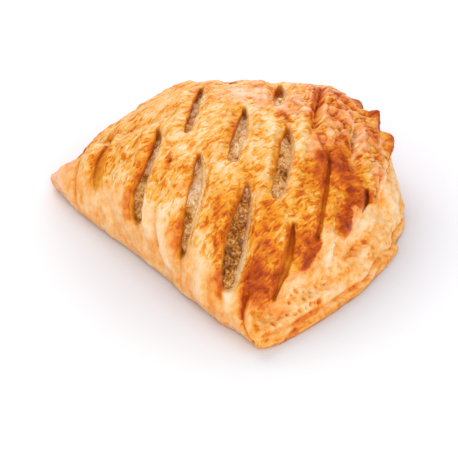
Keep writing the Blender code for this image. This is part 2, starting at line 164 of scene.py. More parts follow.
class Outline:
    """The half moon, and the rounder rings inside it."""

    def __init__(self, n):
        a, b, e = FOLD_HALF, DEPTH, 2.0 / ARC_POWER
        turn = np.linspace(0.0, np.pi, 900)
        c, s = np.cos(turn), np.sin(turn)
        half = np.linspace(0.0, a, 200)[:-1]
        x = np.concatenate([half, a * np.sign(c) * np.abs(c) ** e, -half[:0:-1]])
        y = np.concatenate([-FOLD_BOW * (1 - (half / a) ** 2), b * np.abs(s) ** e,
                            -FOLD_BOW * (1 - (half[:0:-1] / a) ** 2)])
        x, y, length = evenly(x, y, 4000)
        first = np.argmin(np.abs(x) + (y > b / 2) * 1e3)
        x, y = np.roll(x, -first), np.roll(y, -first)

        def rounded(mm):
            return softened(x, mm * 4000 / length), softened(y, mm * 4000 / length)

        (xl, yl), (xr, yr) = rounded(4.0), rounded(5.0)
        w = ease((x + 25) / 50)
        x, y, _ = evenly(xl * (1 - w) + xr * w, yl * (1 - w) + yr * w, n)
        self.n, self.s, self.length, self.places = n, np.arange(n) / n, length, places_of(x, y)
        out = self.value(4)
        tx, ty = np.roll(x, -1) - np.roll(x, 1), np.roll(y, -1) - np.roll(y, 1)
        size = np.hypot(tx, ty)
        x, y = x + out * ty / size, y - out * tx / size
        self.sharp = np.array([x, y])
        self.soft = np.array([softened(v, 16.0 * n / length) for v in (x, y)])
        self.round = np.array([softened(v, 34.0 * n / length) for v in (x, y)])
        right, left = self.places[RIGHT], self.places[LEFT]
        self.fold = 1 - ease((self.s - right + 0.03) / 0.06) * (
            1 - ease((self.s - left + 0.03) / 0.06))
        self.rim_z, self.rim_r = self.value(2), self.value(3)
        self.rim_z = self.rim_z + self.field(*WANDER_Z)
        self.rim_r = self.rim_r + self.field(*WANDER_R)
        self.dome, self.edge = softened(self.value(5), n / 26.0), softened(self.value(6), n / 26.0)

    def value(self, column):
        return between(self.places, [r[column] for r in STATIONS], self.s)

    def field(self, knots, values):
        """A smooth closed field along the outline, from its values at places 0 to 1."""
        return between(knots, values, self.s)

    def ring(self, share):
        inner, outer = 1 - ease(share / 0.6), ease((share - 0.4) / 0.62)
        inner = inner * (1 - outer)
        x, y = (outer * self.sharp[i] + inner * self.round[i]
                + (1 - outer - inner) * self.soft[i] for i in (0, 1))
        cy = CENTRE_SHARE * DEPTH
        return share * x, cy + share * (y - cy)


def crown(u):
    return 20.0 + (HEIGHT - 20.0) * (1 - u**2.1) ** 0.72


def skin(line, t):
    """Points of the plain skin, from the dome's top (t = 0) to the table (t = 1)."""
    rim_z, rim_r, dome, edge = line.rim_z, line.rim_r, line.dome, line.edge
    u = np.sin(np.clip(t / RIM_AT, 0, 1) * np.pi / 2) ** 1.15
    v = np.clip((t - RIM_AT) / (1 - RIM_AT), 0, 1)
    top = t <= RIM_AT
    drop, run, low = ease(v / 0.16), np.clip((v - 0.10) / 0.74, 0, 1), np.clip((v - 0.84) / 0.16, 0, 1)
    arc_r = np.where(top, rim_r * u, rim_r + (1 - rim_r) * run**0.95 - 0.014 * low**2)
    slope = rim_z - RIM_STEP * drop + (LIP - rim_z + RIM_STEP) * run**1.05
    arc_z = np.where(top, rim_z + (HEIGHT - rim_z) * (1 - u**dome) ** edge, slope * (1 - low))
    nose = np.minimum(NOSE, 0.6 * rim_z)
    a, b = np.clip(v / 0.6, 0, 1) * np.pi / 2, np.clip((v - 0.6) / 0.4, 0, 1) * np.pi / 2
    over = rim_r + (1 - rim_r) * np.sin(a)
    fold_r = np.where(top, rim_r * u, np.where(v <= 0.6, over, 1 - 0.07 * (1 - np.cos(b))))
    power = np.log((rim_z - nose) / (HEIGHT - nose)) / np.log(1 - rim_r**dome)
    round_z = nose + (HEIGHT - nose) * (1 - np.minimum(fold_r, 1) ** dome) ** power
    fold_z = np.where(v <= 0.6, round_z, nose * (1 - np.sin(b)))
    r = arc_r * (1 - line.fold) + fold_r * line.fold
    z = arc_z * (1 - line.fold) + fold_z * line.fold
    share = ease(u / 0.85)
    z = np.where(top, z * share + crown(u) * (1 - share), z)
    x, y = line.ring(r)
    return np.stack([x, y, z + 0 * x], -1)


def normals_of(p):
    """Outward unit normals of a grid of rows (down the skin) by columns (around it)."""
    down = np.gradient(p, axis=0)
    along = np.roll(p, -1, axis=1) - np.roll(p, 1, axis=1)
    n = np.cross(down, along)
    n[0] = n[1]
    return n / np.maximum(np.linalg.norm(n, axis=-1, keepdims=True), 1e-9)


def even_rows(line, t_end, rows, first=0.0, fine=420):
    """t for each row and column so that rows are evenly spaced down the skin."""
    q = np.linspace(0, 1, fine)[:, None]
    t = first + (t_end - first) * q + 0 * line.s
    p = skin(line, t)
    run = np.concatenate([np.zeros((1, line.n)),
                          np.cumsum(np.linalg.norm(np.diff(p, axis=0), axis=-1), axis=0)])
    out = np.empty((rows + 1, line.n))
    want = np.linspace(0, 1, rows + 1)
    for j in range(line.n):
        out[:, j] = np.interp(want * run[-1, j], run[:, j], t[:, j])
    return out, run[-1]


# ---------------------------------------------------------------- slits and creases
COARSE = Outline(520)
COARSE_T = np.linspace(0.006, 1.0, 230)[:, None] + 0 * COARSE.s
COARSE_P = skin(COARSE, COARSE_T)
COARSE_N = normals_of(COARSE_P)


def on_skin(points):
    """Those points moved onto the plain skin, with its normals there."""
    flat, up = COARSE_P.reshape(-1, 3), COARSE_N.reshape(-1, 3)
    out, outn = [], []
    for q in points:
        d = np.linalg.norm(flat - q, axis=1)
        near = np.argpartition(d, 9)[:9]
        w = 1.0 / (d[near] + 0.25) ** 2
        out.append((flat[near] * w[:, None]).sum(0) / w.sum())
        outn.append((up[near] * w[:, None]).sum(0) / w.sum())
    return np.array(out), np.array(outn)


def smooth_open(v, times):
    for _ in range(times):
        w = np.vstack([2 * v[0] - v[1], v, 2 * v[-1] - v[-2]])
        v = 0.25 * w[:-2] + 0.5 * w[1:-1] + 0.25 * w[2:]
    return v


class Track:
    """A line that lies on the skin, and where points are beside and along it."""

    def __init__(self, path, m=49):
        path = np.array(path, float)
        run = np.concatenate([[0], np.cumsum(np.linalg.norm(np.diff(path, axis=0), axis=1))])
        at = np.linspace(0, run[-1], m)
        pts = smooth_open(np.stack([np.interp(at, run, path[:, k]) for k in range(3)], -1), 30)
        pts, up = on_skin(pts)
        self.pts, up, self.m = smooth_open(pts, 6), smooth_open(up, 12), m
        self.up = up / np.linalg.norm(up, axis=1, keepdims=True)
        tan = np.gradient(self.pts, axis=0)
        self.step = np.linalg.norm(tan, axis=1).mean()
        self.tan = tan / np.linalg.norm(tan, axis=1, keepdims=True)
        side = np.cross(self.up, self.tan)
        self.side = side / np.linalg.norm(side, axis=1, keepdims=True)
        self.length = self.step * (m - 1)

    def near(self, p, n, reach):
        lo, hi = self.pts.min(0) - reach - 2, self.pts.max(0) + reach + 2
        return np.where(((p > lo) & (p < hi)).all(1) & (n[:, 2] > -0.4))[0]

    def place(self, p):
        """Signed distance to the right of the line, share along it, and side vectors."""
        k = np.zeros(len(p), int)
        best = np.full(len(p), 1e9)
        for i in range(self.m):
            d = ((p - self.pts[i]) ** 2).sum(-1)
            near = d < best
            k[near], best[near] = i, d[near]
        off = ((p - self.pts[k]) * self.tan[k]).sum(-1)
        inner = (k > 0) & (k < self.m - 1)
        off = np.where(inner, np.clip(off, -self.step, self.step), off)
        v = p - self.pts[k] - self.tan[k] * off[:, None]
        d = np.linalg.norm(v, axis=1) * np.sign((v * self.side[k]).sum(-1) + 1e-12)
        return d, (k + off / self.step) / (self.m - 1), self.side[k]


# The knife is held at a slant: slit bottoms lie this way below their lips.
KNIFE = np.array([0.63, -0.49, 0.60])


class Slit(Track):
    """A slit, from its upper to its lower end.  left and right are how far its lips stand
    from the line, floors how far the bottom reaches to the left and to the right."""

    def __init__(self, path, left, floors, right, depth=6.0, roll=1.7, edge=0.7, crest=1.1,
                 reach=8.0, shade=1.0, pale=1.0, both=0.0, seed=0):
        super().__init__(path)
        self.left, self.floors, self.right = left, floors, right
        self.depth, self.roll, self.edge, self.crest = depth, roll, edge, crest
        self.reach, self.shade, self.pale, self.both, self.seed = reach, shade, pale, both, seed

    def bend(self, p, n, move, fields):
        """Adds the displacement of points p to move, and writes the slit's fields."""
        idx = self.near(p, n, self.reach)
        q = p[idx]
        d, a, side = self.place(q)
        d = d + 0.10 * noise(q / 1.4, 40 + self.seed) + 0.26 * noise(q / 4.2, 41 + self.seed)
        keep = (np.abs(d) < self.reach) & (a > -0.2) & (a < 1.2)
        idx, q, d, a, side = idx[keep], q[keep], d[keep], a[keep], side[keep]
        x, r = np.clip(a, 0, 1), self.reach
        end = np.clip((x - 5 / 6) * 6, 0, 1)
        x = np.where(x > 5 / 6, (5 + 1 - np.sqrt(np.maximum(1 - end**2, 0))) / 6, x)
        at = np.linspace(0, 1, len(self.left))
        isright = d > 0
        lip = np.where(isright, np.interp(x, at, self.right), np.interp(x, at, self.left))
        floor_ = np.where(isright, np.interp(x, at, self.floors[1]), np.interp(x, at, self.floors[0]))
        wave = 1 + 0.10 * noise(flat3(a * self.length / 3.0, np.sign(d) * 3.1, 0 * a), 42 + self.seed)
        lip, floor_ = lip * wave, np.minimum(floor_ * wave, lip - 0.12)
        grow = ease((a + 0.03) / 0.10) * ease((1.03 - a) / 0.09)
        dl = 0.70 * lip + 0.9
        df = np.clip(0.45 * floor_, 0.12, 0.6 * dl)
        s = np.abs(d)
        u0, u1, u2 = np.clip(s / df, 0, 1), np.clip((s - df) / (dl - df), 0, 1), np.clip((s - dl) / (r - dl), 0, 1)
        far = floor_ * u0 + (lip - floor_) * u1**1.25 + (r - lip) * u2
        low = np.where(isright, self.edge, self.roll) * (0.35 + 0.65 * np.clip(lip / 2.5, 0, 1))
        rounded = 1 - (1 - u1) ** 2.3
        sloped = 0.55 * u1 + 0.45 * (1 - (1 - u1) ** 1.7)
        wall = -self.depth + (self.depth - low) * np.where(isright, sloped, rounded)
        beside = -low * (1 - u2) ** 2 * (1 + np.where(isright, 0.9, 0.5) * u2)
        beside += self.crest * np.exp(-((u2 - 0.5) / 0.3) ** 2) * ease(u2 / 0.4) * ease((1 - u2) / 0.4)
        h = np.where(s < dl, wall, beside) * grow
        far = mix(s, far, grow)
        slant = KNIFE - n[idx] * (n[idx] @ KNIFE)[:, None]
        across, upright = (slant * side).sum(-1), np.maximum(n[idx] @ KNIFE, 0.45)
        slant = (slant - side * across[:, None]) * 0.55 + side * across[:, None]
        slant = slant * (np.minimum(h + low * grow, 0) * (s < dl) / upright)[:, None]
        move[idx] += side * (np.sign(d) * (far - s))[:, None] + n[idx] * h[:, None] + slant
        inside = (s < dl) * ease(grow * 2.5)
        ragged = 0.05 * noise(q / 0.9, 43 + self.seed)
        pale = inside * np.where(isright, 1.0, self.both) * ease((0.93 + ragged - u1) / 0.06) * ease((u1 + ragged) / 0.10) * self.pale
        # painted shade: the left wall and the floor of each slit are darkened in colour, kept in the shade field
        painted_shade = inside * np.where(isright, (1 - u0) ** 0.5 * (u0 < 1), (1 - u1) ** 0.8) * self.shade
        fields["wall"][idx] = np.maximum(fields["wall"][idx], pale)
        fields["wallu"][idx] = np.where(pale > 0.02, u1, fields["wallu"][idx])
        fields["shade"][idx] = np.maximum(fields["shade"][idx], painted_shade)
        # painted highlight: a paler band on the left strip's shoulder beside the slit, kept in the pale field
        painted_highlight = np.where(isright, 0.0, 0.12 * np.exp(-((far - lip - 2.4) / 1.2) ** 2)) * grow
        fields["pale"][idx] = np.maximum(fields["pale"][idx], painted_highlight)
        fields["calm"][idx] = np.maximum(fields["calm"][idx], inside)
        fields["tone"][idx] += np.where(isright, 0.0, 0.15 * np.exp(-((far - lip) / 1.5) ** 2)) * grow


class Fold(Track):
    """A ridge (height over 0) or valley (under 0) along a line, with a tone along it."""

    def __init__(self, path, height, width, tone=0.0, tone_width=1.0, ends=(0.25, 0.25), lean=0.0):
        super().__init__(path, 33)
        self.height, self.width, self.tone, self.tone_width = height, width, tone, tone_width
        self.ends, self.lean = ends, lean

    def bend(self, p, n, move, fields):
        reach = 3.2 * max(self.width, self.tone_width)
        idx = self.near(p, n, reach)
        q = p[idx]
        d, a, side = self.place(q)
        keep = (np.abs(d) < reach) & (a > -0.3) & (a < 1.3)
        idx, q, d, a = idx[keep], q[keep], d[keep], a[keep]
        taper = ease(0.5 + a / self.ends[0]) * ease(0.5 + (1 - a) / self.ends[1])
        d = d + 0.3 * noise(q / 3.0, 45)
        wide = np.where(d > 0, self.width * (1 + self.lean), self.width * (1 - self.lean))
        move[idx] += n[idx] * (self.height * np.exp(-(d / wide) ** 2) * taper)[:, None]
        fields["tone"][idx] += self.tone * np.exp(-(d / self.tone_width) ** 2) * taper


def line_at(x, y, length, turn):
    """A straight slit given in plan, its heights taken from the skin."""
    way = (np.linspace(-0.5, 0.5, 4) * length)[:, None] * np.array(
        [math.cos(math.radians(turn)), math.sin(math.radians(turn))])
    flat = COARSE_P.reshape(-1, 3)[COARSE_N.reshape(-1, 3)[:, 2] > 0.2]
    out = []
    for q in np.array([x, y]) + way:
        k = np.argmin(np.hypot(*(flat[:, :2] - q).T))
        out.append((q[0], q[1], flat[k, 2]))
    return out


USUAL = dict(left=[0.5, 1.6, 2.2, 2.5, 2.3, 1.7, 0.6],
             floors=([0.3, 0.8, 1.2, 1.4, 1.3, 0.9, 0.3], [0.3, 1.0, 1.5, 1.7, 1.5, 1.0, 0.3]),
             right=[0.7, 1.9, 2.7, 3.0, 2.8, 1.9, 0.7])
SLITS = [
    # the row by the fold, from the left
    Slit([(-45.3, 18.5, 23.5), (-41.1, 14.7, 25.3), (-36.9, 10.7, 26.6), (-33.3, 6.1, 26.0), (-30.7, 2.2, 22.5), (-28.3, -0.7, 17.8)],
         [0.9, 1.2, 1.7, 2.4, 4.2, 4.3, 1.6],
         ([0.4, 0.5, 0.6, 1.2, 2.4, 2.2, 0.7], [0.4, 1.5, 2.4, 2.4, 2.2, 2.0, 0.7]),
         [2.0, 3.0, 3.7, 4.0, 4.2, 3.3, 1.3], depth=2.1, roll=0.8, edge=0.4, pale=0.0, shade=0.9, crest=1.4, seed=1),
    Slit([(-19.5, 22.2, 40.4), (-13.6, 17.0, 39.2), (-9.6, 10.8, 36.0), (-7.2, 5.2, 30.7), (-4.7, 1.5, 24.1), (-2.5, -0.6, 16.6)],
         [0.5, 1.6, 1.8, 2.6, 5.6, 6.8, 2.1],
         ([0.3, 0.8, 1.0, 0.9, 2.8, 2.6, 0.9], [0.3, 1.7, 1.3, 1.4, 2.2, 2.8, 0.9]),
         [0.7, 2.2, 2.9, 3.0, 3.3, 3.5, 1.5], pale=0.7, seed=2),
    Slit([(4.3, 22.4, 42.3), (10.0, 17.1, 39.7), (14.7, 11.7, 35.8), (18.1, 6.7, 30.4), (21.3, 2.8, 23.9), (22.4, 0.1, 16.4)],
         [0.5, 2.1, 2.7, 2.9, 4.4, 4.6, 0.7],
         ([0.4, 1.2, 1.9, 1.8, 1.6, 1.3, 0.2], [0.4, 1.4, 2.1, 1.9, 1.7, 1.6, 0.2]),
         [0.7, 2.8, 4.2, 4.0, 3.1, 2.7, 0.7], seed=3),
    Slit([(25.0, 27.8, 38.1), (29.7, 22.8, 34.3), (33.8, 17.2, 30.3), (37.7, 11.8, 25.9), (41.2, 6.6, 21.0), (44.3, 2.2, 15.2)],
         [0.4, 2.0, 3.6, 4.5, 4.3, 3.4, 0.9],
         ([0.3, 1.1, 2.1, 2.3, 2.4, 2.0, 0.6], [0.3, 1.3, 2.0, 2.4, 2.3, 2.0, 0.6]),
         [0.6, 2.3, 3.5, 3.9, 5.3, 4.7, 1.6], depth=6.6, seed=4),
    Slit([(42.7, 34.0, 29.4), (46.3, 30.7, 26.2), (49.5, 26.9, 22.9), (52.0, 22.7, 19.6), (54.0, 18.6, 15.9), (55.5, 14.9, 11.6)],
         [0.2, 1.6, 2.3, 2.4, 2.0, 1.4, 0.4],
         ([0.1, 0.5, 0.7, 0.7, 0.7, 0.6, 0.2], [0.1, 0.7, 0.9, 0.8, 0.7, 0.5, 0.2]),
         [0.3, 1.2, 1.6, 1.5, 1.4, 1.1, 0.4], depth=3.2, roll=0.9, edge=1.0, reach=6.5, crest=1.0, pale=0.0, shade=0.8, seed=5),
    # the second row
    Slit(line_at(-43.5, 61.5, 12.0, -46.0), crest=0.4, roll=1.0, seed=6, **USUAL),
    Slit([(-30.9, 50.7, 40.5), (-26.4, 45.7, 41.7), (-21.8, 40.8, 42.8), (-17.0, 36.0, 43.4), (-12.3, 31.1, 43.7), (-7.7, 26.1, 43.2)],
         [0.8, 1.7, 1.8, 1.6, 1.9, 1.7, 0.8],
         ([0.4, 0.9, 1.1, 1.3, 1.5, 1.4, 0.6], [0.4, 0.9, 1.1, 1.2, 1.3, 1.3, 0.6]),
         [0.9, 1.8, 1.9, 1.8, 2.0, 1.9, 0.9], depth=4.8, roll=1.2, shade=0.6, seed=7),
    Slit([(-3.9, 49.2, 46.0), (0.5, 45.2, 46.0), (4.7, 40.9, 45.8), (8.4, 36.4, 45.1), (12.2, 32.0, 44.0), (16.4, 27.9, 42.6)],
         [0.6, 1.3, 2.4, 2.9, 3.1, 2.3, 0.8],
         ([0.4, 0.8, 1.4, 1.6, 2.2, 1.8, 0.5], [0.4, 1.3, 1.6, 2.0, 1.8, 1.9, 0.5]),
         [0.7, 1.8, 2.3, 2.9, 2.7, 2.5, 0.9], depth=6.0, seed=8),
    Slit([(13.5, 55.1, 44.1), (18.4, 50.9, 42.9), (22.9, 46.5, 41.5), (27.1, 41.9, 39.7), (31.0, 37.1, 37.7), (34.6, 32.2, 35.3)],
         [0.6, 2.5, 2.8, 2.9, 2.8, 2.2, 0.7],
         ([0.4, 1.2, 1.6, 1.7, 1.8, 1.6, 0.4], [0.4, 1.3, 1.7, 1.8, 1.8, 1.6, 0.4]),
         [0.7, 2.3, 2.8, 3.0, 3.0, 2.8, 0.8], depth=6.4, seed=9),
    Slit([(25.5, 63.6, 38.8), (31.2, 59.6, 35.8), (36.3, 54.9, 32.7), (40.8, 49.6, 29.7), (45.1, 44.3, 26.4), (49.2, 39.1, 22.7)],
         [0.4, 0.6, 0.7, 0.8, 1.0, 0.8, 0.5],
         ([0.2, 0.4, 0.4, 0.5, 0.5, 0.4, 0.2], [0.2, 0.4, 0.5, 0.5, 0.5, 0.4, 0.2]),
         [0.4, 0.8, 0.8, 0.8, 0.9, 0.8, 0.5], depth=1.9, roll=0.8, edge=0.6, reach=6.0, crest=0.9, pale=0.0, shade=0.6, seed=10),
    Slit([(40.1, 70.3, 25.8), (41.6, 69.0, 24.3), (42.9, 67.6, 23.0), (44.1, 65.8, 21.9), (45.1, 63.7, 21.1)],
         [0.5, 0.9, 1.1, 1.1, 1.0, 0.8, 0.4],
         ([0.3, 0.5, 0.6, 0.6, 0.5, 0.4, 0.2], [0.3, 0.5, 0.7, 0.7, 0.6, 0.5, 0.2]),
         [0.6, 1.1, 1.5, 1.7, 1.6, 1.3, 0.7], depth=3.0, roll=0.8, edge=0.6, reach=5.0, crest=0.8, pale=0.0, seed=11),
    # the third row, towards the arc
    Slit([(-40.5, 72.5, 29.5), (-36.5, 69.0, 32.5), (-33.0, 66.0, 35.0), (-29.5, 63.0, 38.0)], crest=0.4, roll=1.0, seed=12, **USUAL),
    Slit([(-15.0, 75.0, 39.8), (-11.3, 71.8, 41.6), (-7.9, 68.8, 42.6), (-4.5, 65.6, 43.5), (-1.6, 62.8, 44.3), (1.2, 60.1, 44.9)],
         [0.6, 1.6, 2.2, 2.4, 2.2, 1.4, 0.4],
         ([0.4, 1.0, 1.5, 1.6, 1.5, 0.9, 0.3], [0.4, 1.2, 1.6, 1.6, 1.3, 0.8, 0.3]),
         [0.8, 2.0, 2.6, 2.5, 2.1, 1.4, 0.6], depth=4.6, roll=1.0, shade=0.35, seed=13),
    Slit([(-29.5, 83.0, 31.0), (-26.5, 80.5, 33.0), (-23.5, 78.0, 35.0), (-20.5, 75.5, 37.2)], crest=0.4, roll=1.0, seed=16, reach=6.0, **USUAL),
]
FOLDS = [
    # the groove and the tongue at the right corner
    Fold([(49.2, 8.2, 15.6), (51.1, 4.8, 13.0), (52.2, 3.0, 11.2), (54.2, 1.2, 9.0), (55.7, 1.3, 5.6), (57.5, 1.9, 3.8), (59.0, 2.4, 1.8)],
         -2.6, 1.15, 0.50, 0.75, (0.15, 0.1)),
    Fold([(51.4, 10.2, 15.6), (52.4, 7.2, 13.4), (54.0, 4.9, 11.1), (56.6, 2.9, 8.8), (59.2, 2.4, 6.5), (61.2, 3.4, 5.0)],
         1.7, 1.7, -0.10, 0.7, (0.3, 0.2), 0.35),
    Fold([(55.0, 6.0, 11.0), (57.5, 4.2, 8.6), (59.8, 3.8, 6.0)], 0.0, 1.0, 0.22, 1.2, (0.3, 0.3)),
    Fold([(57.0, 7.0, 9.8), (57.5, 10.0, 9.5), (57.7, 14.0, 9.6), (57.6, 17.5, 9.8)], -1.5, 2.2, 0.16, 2.0, (0.3, 0.3)),
    Fold([(61.1, 5.0, 6.7), (61.3, 10.4, 6.2), (61.1, 15.9, 6.4), (61.0, 21.6, 6.8)], 0.7, 1.1, -0.10, 1.0),
    # the left corner and the fold's front
    Fold([(-46.2, 4.5, 18.2), (-43.6, 0.8, 15.6), (-41.2, -1.4, 12.6), (-40.6, -2.1, 7.0), (-40.2, -1.3, 2.5)], -2.0, 1.3, 0.22, 0.9, (0.3, 0.2)),
    Fold([(-52.5, 3.0, 13.5), (-49.0, -0.2, 11.5), (-46.5, -1.4, 7.0)], 1.0, 2.6, -0.04, 2.0),
    Fold([(-36.6, -1.6, 13.5), (-35.5, -2.2, 7.7)], -0.7, 1.4, 0.10, 1.0),
    Fold([(-17.8, -1.5, 14.4), (-16.6, -1.6, 8.0)], -0.8, 1.5, 0.10, 1.0),
    Fold([(-2.9, 4.7, 30.5), (2.0, 1.0, 23.2), (4.8, -0.6, 14.9)], 0.9, 2.3, -0.26, 2.2),
    Fold([(8.9, 5.2, 30.5), (9.7, 1.4, 23.5), (11.6, -0.2, 16.6), (16.1, -0.7, 9.4)], 1.3, 2.8, -0.30, 2.8),
    Fold([(4.4, 1.6, 24.5), (7.8, 0.0, 18.5), (9.0, -0.8, 10.7), (10.0, -0.8, 5.0)], -1.2, 1.9, 0.10, 1.4),
    Fold([(23.0, 0.1, 15.9), (21.7, -0.6, 9.7), (22.5, -0.6, 4.0)], -1.1, 1.8, 0.06, 1.2),
    Fold([(27.7, 6.1, 27.6), (31.1, 2.0, 20.0), (33.6, 0.0, 12.5), (36.0, -0.2, 6.0)], 1.1, 3.0, -0.26, 2.8),
    Fold([(33.2, 7.8, 27.8), (36.3, 4.0, 22.2), (40.9, 1.7, 16.2), (45.1, 0.7, 11.7)], -0.9, 1.5, 0.24, 1.5),
    Fold([(-26.0, -1.4, 12.0), (-25.0, -1.6, 5.0)], -0.7, 1.8, 0.05, 1.2),
    Fold([(-9.0, -1.2, 10.5), (-8.0, -1.4, 4.0)], -0.6, 1.6, 0.05, 1.2),
    # folds of the leaves on the right slope, paler on the ridges and darker in the valleys: painted highlight and
    # painted shade
    Fold([(48.9, 45.0, 21.5), (51.2, 43.7, 17.4), (52.3, 41.8, 15.5), (54.2, 38.2, 13.9), (54.8, 34.0, 13.8)],
         1.5, 1.7, -0.30, 1.7),
    Fold([(53.3, 41.9, 14.3), (56.3, 39.5, 11.1), (58.9, 36.5, 8.2)], -1.0, 1.4, 0.20, 1.1),
    Fold([(59.1, 23.3, 9.3), (59.4, 32.0, 8.2), (58.9, 41.6, 7.3)], 0.8, 1.6, -0.10, 1.4),
    Fold([(58.3, 39.8, 8.4), (56.5, 48.2, 8.9), (53.4, 58.4, 9.5), (49.7, 68.6, 10.0), (45.2, 78.4, 9.9)], 0.9, 1.8, -0.14, 1.6),
    Fold([(52.3, 52.6, 13.0), (50.8, 58.7, 12.7), (48.4, 65.4, 13.4), (44.4, 74.9, 14.2)], -0.8, 1.6, 0.14, 1.2),
    Fold([(40.7, 76.3, 21.6), (42.4, 76.6, 16.2), (45.7, 75.8, 11.4)], -0.9, 1.2, 0.26, 0.8),
    Fold([(38.0, 80.5, 22.5), (39.8, 81.5, 17.0), (42.5, 82.0, 11.5)], 0.9, 1.8, -0.08, 1.6),
    # the brown band that follows the end of the glaze on the right
    Fold([(39.7, 72.2, 24.2), (42.7, 67.1, 23.4), (43.5, 62.6, 23.7), (44.5, 58.1, 23.3), (46.5, 54.1, 22.0), (48.5, 50.0, 20.7)],
         0.5, 2.4, 0.30, 2.6, (0.3, 0.2)),
    Fold([(49.6, 43.0, 20.9), (51.0, 38.7, 18.8), (52.2, 34.2, 19.1), (52.7, 30.5, 18.6), (53.1, 27.1, 18.7)],
         0.4, 2.4, 0.26, 2.4, (0.3, 0.3)),
    # two slits that have closed again, at the back on the right
    Fold([(-11.7, 92.8, 33.8), (-5.6, 86.8, 37.1), (0.6, 80.6, 39.7), (6.9, 74.3, 41.2), (13.4, 67.9, 41.8), (18.0, 63.2, 41.6)],
         -2.7, 1.9, 0.04, 1.6, (0.3, 0.3)),
    Fold([(-6.8, 85.2, 37.6), (-0.6, 79.0, 40.2), (5.7, 72.7, 41.8), (12.0, 66.6, 42.2)], 0.7, 1.1, 0.30, 0.9, (0.3, 0.3)),
    Fold([(-4.0, 88.4, 35.8), (2.2, 82.2, 38.6), (8.5, 75.9, 40.4), (14.8, 69.6, 41.2)], 0.9, 1.3, -0.10, 1.2, (0.3, 0.3)),
    Fold([(-8.0, 90.0, 35.5), (-1.5, 83.0, 38.7), (5.5, 75.8, 41.0), (12.0, 69.2, 41.8)], -0.7, 0.5, 0.34, 0.45, (0.3, 0.3)),
    Fold([(14.8, 87.3, 35.0), (19.1, 83.6, 35.1), (23.1, 79.7, 35.1), (27.1, 75.6, 34.6), (31.2, 72.0, 33.3), (34.3, 69.5, 31.8)],
         -3.0, 1.8, -0.26, 1.8, (0.2, 0.25)),
    Fold([(17.5, 85.0, 35.2), (21.5, 81.2, 35.2), (25.3, 77.4, 35.0), (29.0, 74.0, 34.0)], -1.1, 0.5, 0.60, 0.5, (0.3, 0.3)),
    # between the lobes of the rim at the back
    Fold([(5.5, 86.0, 36.5), (7.6, 92.0, 33.5), (9.0, 98.5, 28.0)], -2.8, 2.4, 0.12, 1.5, (0.4, 0.1)),
    Fold([(15.0, 90.0, 34.0), (16.5, 95.0, 29.5), (17.5, 99.5, 25.0)], -1.6, 2.2, 0.10, 1.5, (0.4, 0.1)),
    Fold([(26.0, 87.5, 28.5), (29.5, 89.5, 24.0)], -1.2, 2.0, 0.10, 1.5, (0.4, 0.1)),
]


# ---------------------------------------------------------------- meshes
def web(counts):
    """Faces between rings of those counts, each the same as, twice or half the last."""
    faces, start = [], 0
    for a, b in zip(counts[:-1], counts[1:]):
        i, j = start, start + a
        if a == 1:
            k = np.arange(b)
            faces += np.stack([0 * k + i, j + k, j + (k + 1) % b], 1).tolist()
        elif b == 1:
            k = np.arange(a)
            faces += np.stack([i + (k + 1) % a, i + k, 0 * k + j], 1).tolist()
        elif a == b:
            k = np.arange(a)
            k2 = (k + 1) % a
            faces += np.stack([i + k, j + k, j + k2, i + k2], 1).tolist()
        elif b == 2 * a:
            k = np.arange(a)
            k2, m, m1, m2 = (k + 1) % a, 2 * k, 2 * k + 1, (2 * k + 2) % b
            faces += np.stack([i + k, j + m, j + m1], 1).tolist()
            faces += np.stack([i + k, j + m1, i + k2], 1).tolist()
            faces += np.stack([i + k2, j + m1, j + m2], 1).tolist()
        else:
            k = np.arange(b)
            k2, m, m1, m2 = (k + 1) % b, 2 * k, 2 * k + 1, (2 * k + 2) % a
            faces += np.stack([i + m, j + k, i + m1], 1).tolist()
            faces += np.stack([i + m1, j + k, j + k2], 1).tolist()
            faces += np.stack([i + m1, j + k2, i + m2], 1).tolist()
        start += a
    return faces


def thinned(grid, fields, widest):
    """Rings of the grid, each with about as many points as its length asks for."""
    n = grid.shape[1]
    rings, counts, values = [], [], {k: [] for k in fields}
    for i, row in enumerate(grid):
        length = np.linalg.norm(np.diff(np.vstack([row, row[:1]]), axis=0), axis=1).sum()
        step = 1
        while n % (step * 2) == 0 and length / (n / step) < 0.5 * widest:
            step *= 2
        if length < 1e-6:
            step = n
        elif counts and counts[-1] > 1:
            step = n // min(max(n // step, counts[-1] // 2), counts[-1] * 2)
        rings.append(row[::step])
        counts.append(len(rings[-1]))
        for k in fields:
            values[k].append(fields[k][i][::step])
    return np.vstack(rings), counts, {k: np.concatenate(v) for k, v in values.items()}


def piece(name, points, faces, fields, material):
    mesh = bpy.data.meshes.new(name)
    mesh.from_pydata(((points + ORIGIN_SHIFT) * MM).tolist(), [], faces)
    mesh.update()
    for key, v in fields.items():
        a = mesh.attributes.new(key, "FLOAT", "POINT")
        a.data.foreach_set("value", np.ascontiguousarray(v, np.float32))
    obj = bpy.data.objects.new(name, mesh)
    bpy.context.scene.collection.objects.link(obj)
    mesh.materials.append(material)
    mesh.shade_smooth()
    return obj


def signed_volume(points, faces):
    tri = np.array([(f[0], f[i], f[i + 1]) for f in faces for i in range(1, len(f) - 1)])
    a, b, c = points[tri[:, 0]], points[tri[:, 1]], points[tri[:, 2]]
    return float((a * np.cross(b, c)).sum() / 6), len(tri)


def outward(name, points, faces):
    volume, count = signed_volume(points, faces)
    print(f"{name}: {count} triangles, volume {abs(volume) / 1000:.1f} cm3")
    return faces if volume > 0 else [f[::-1] for f in faces]


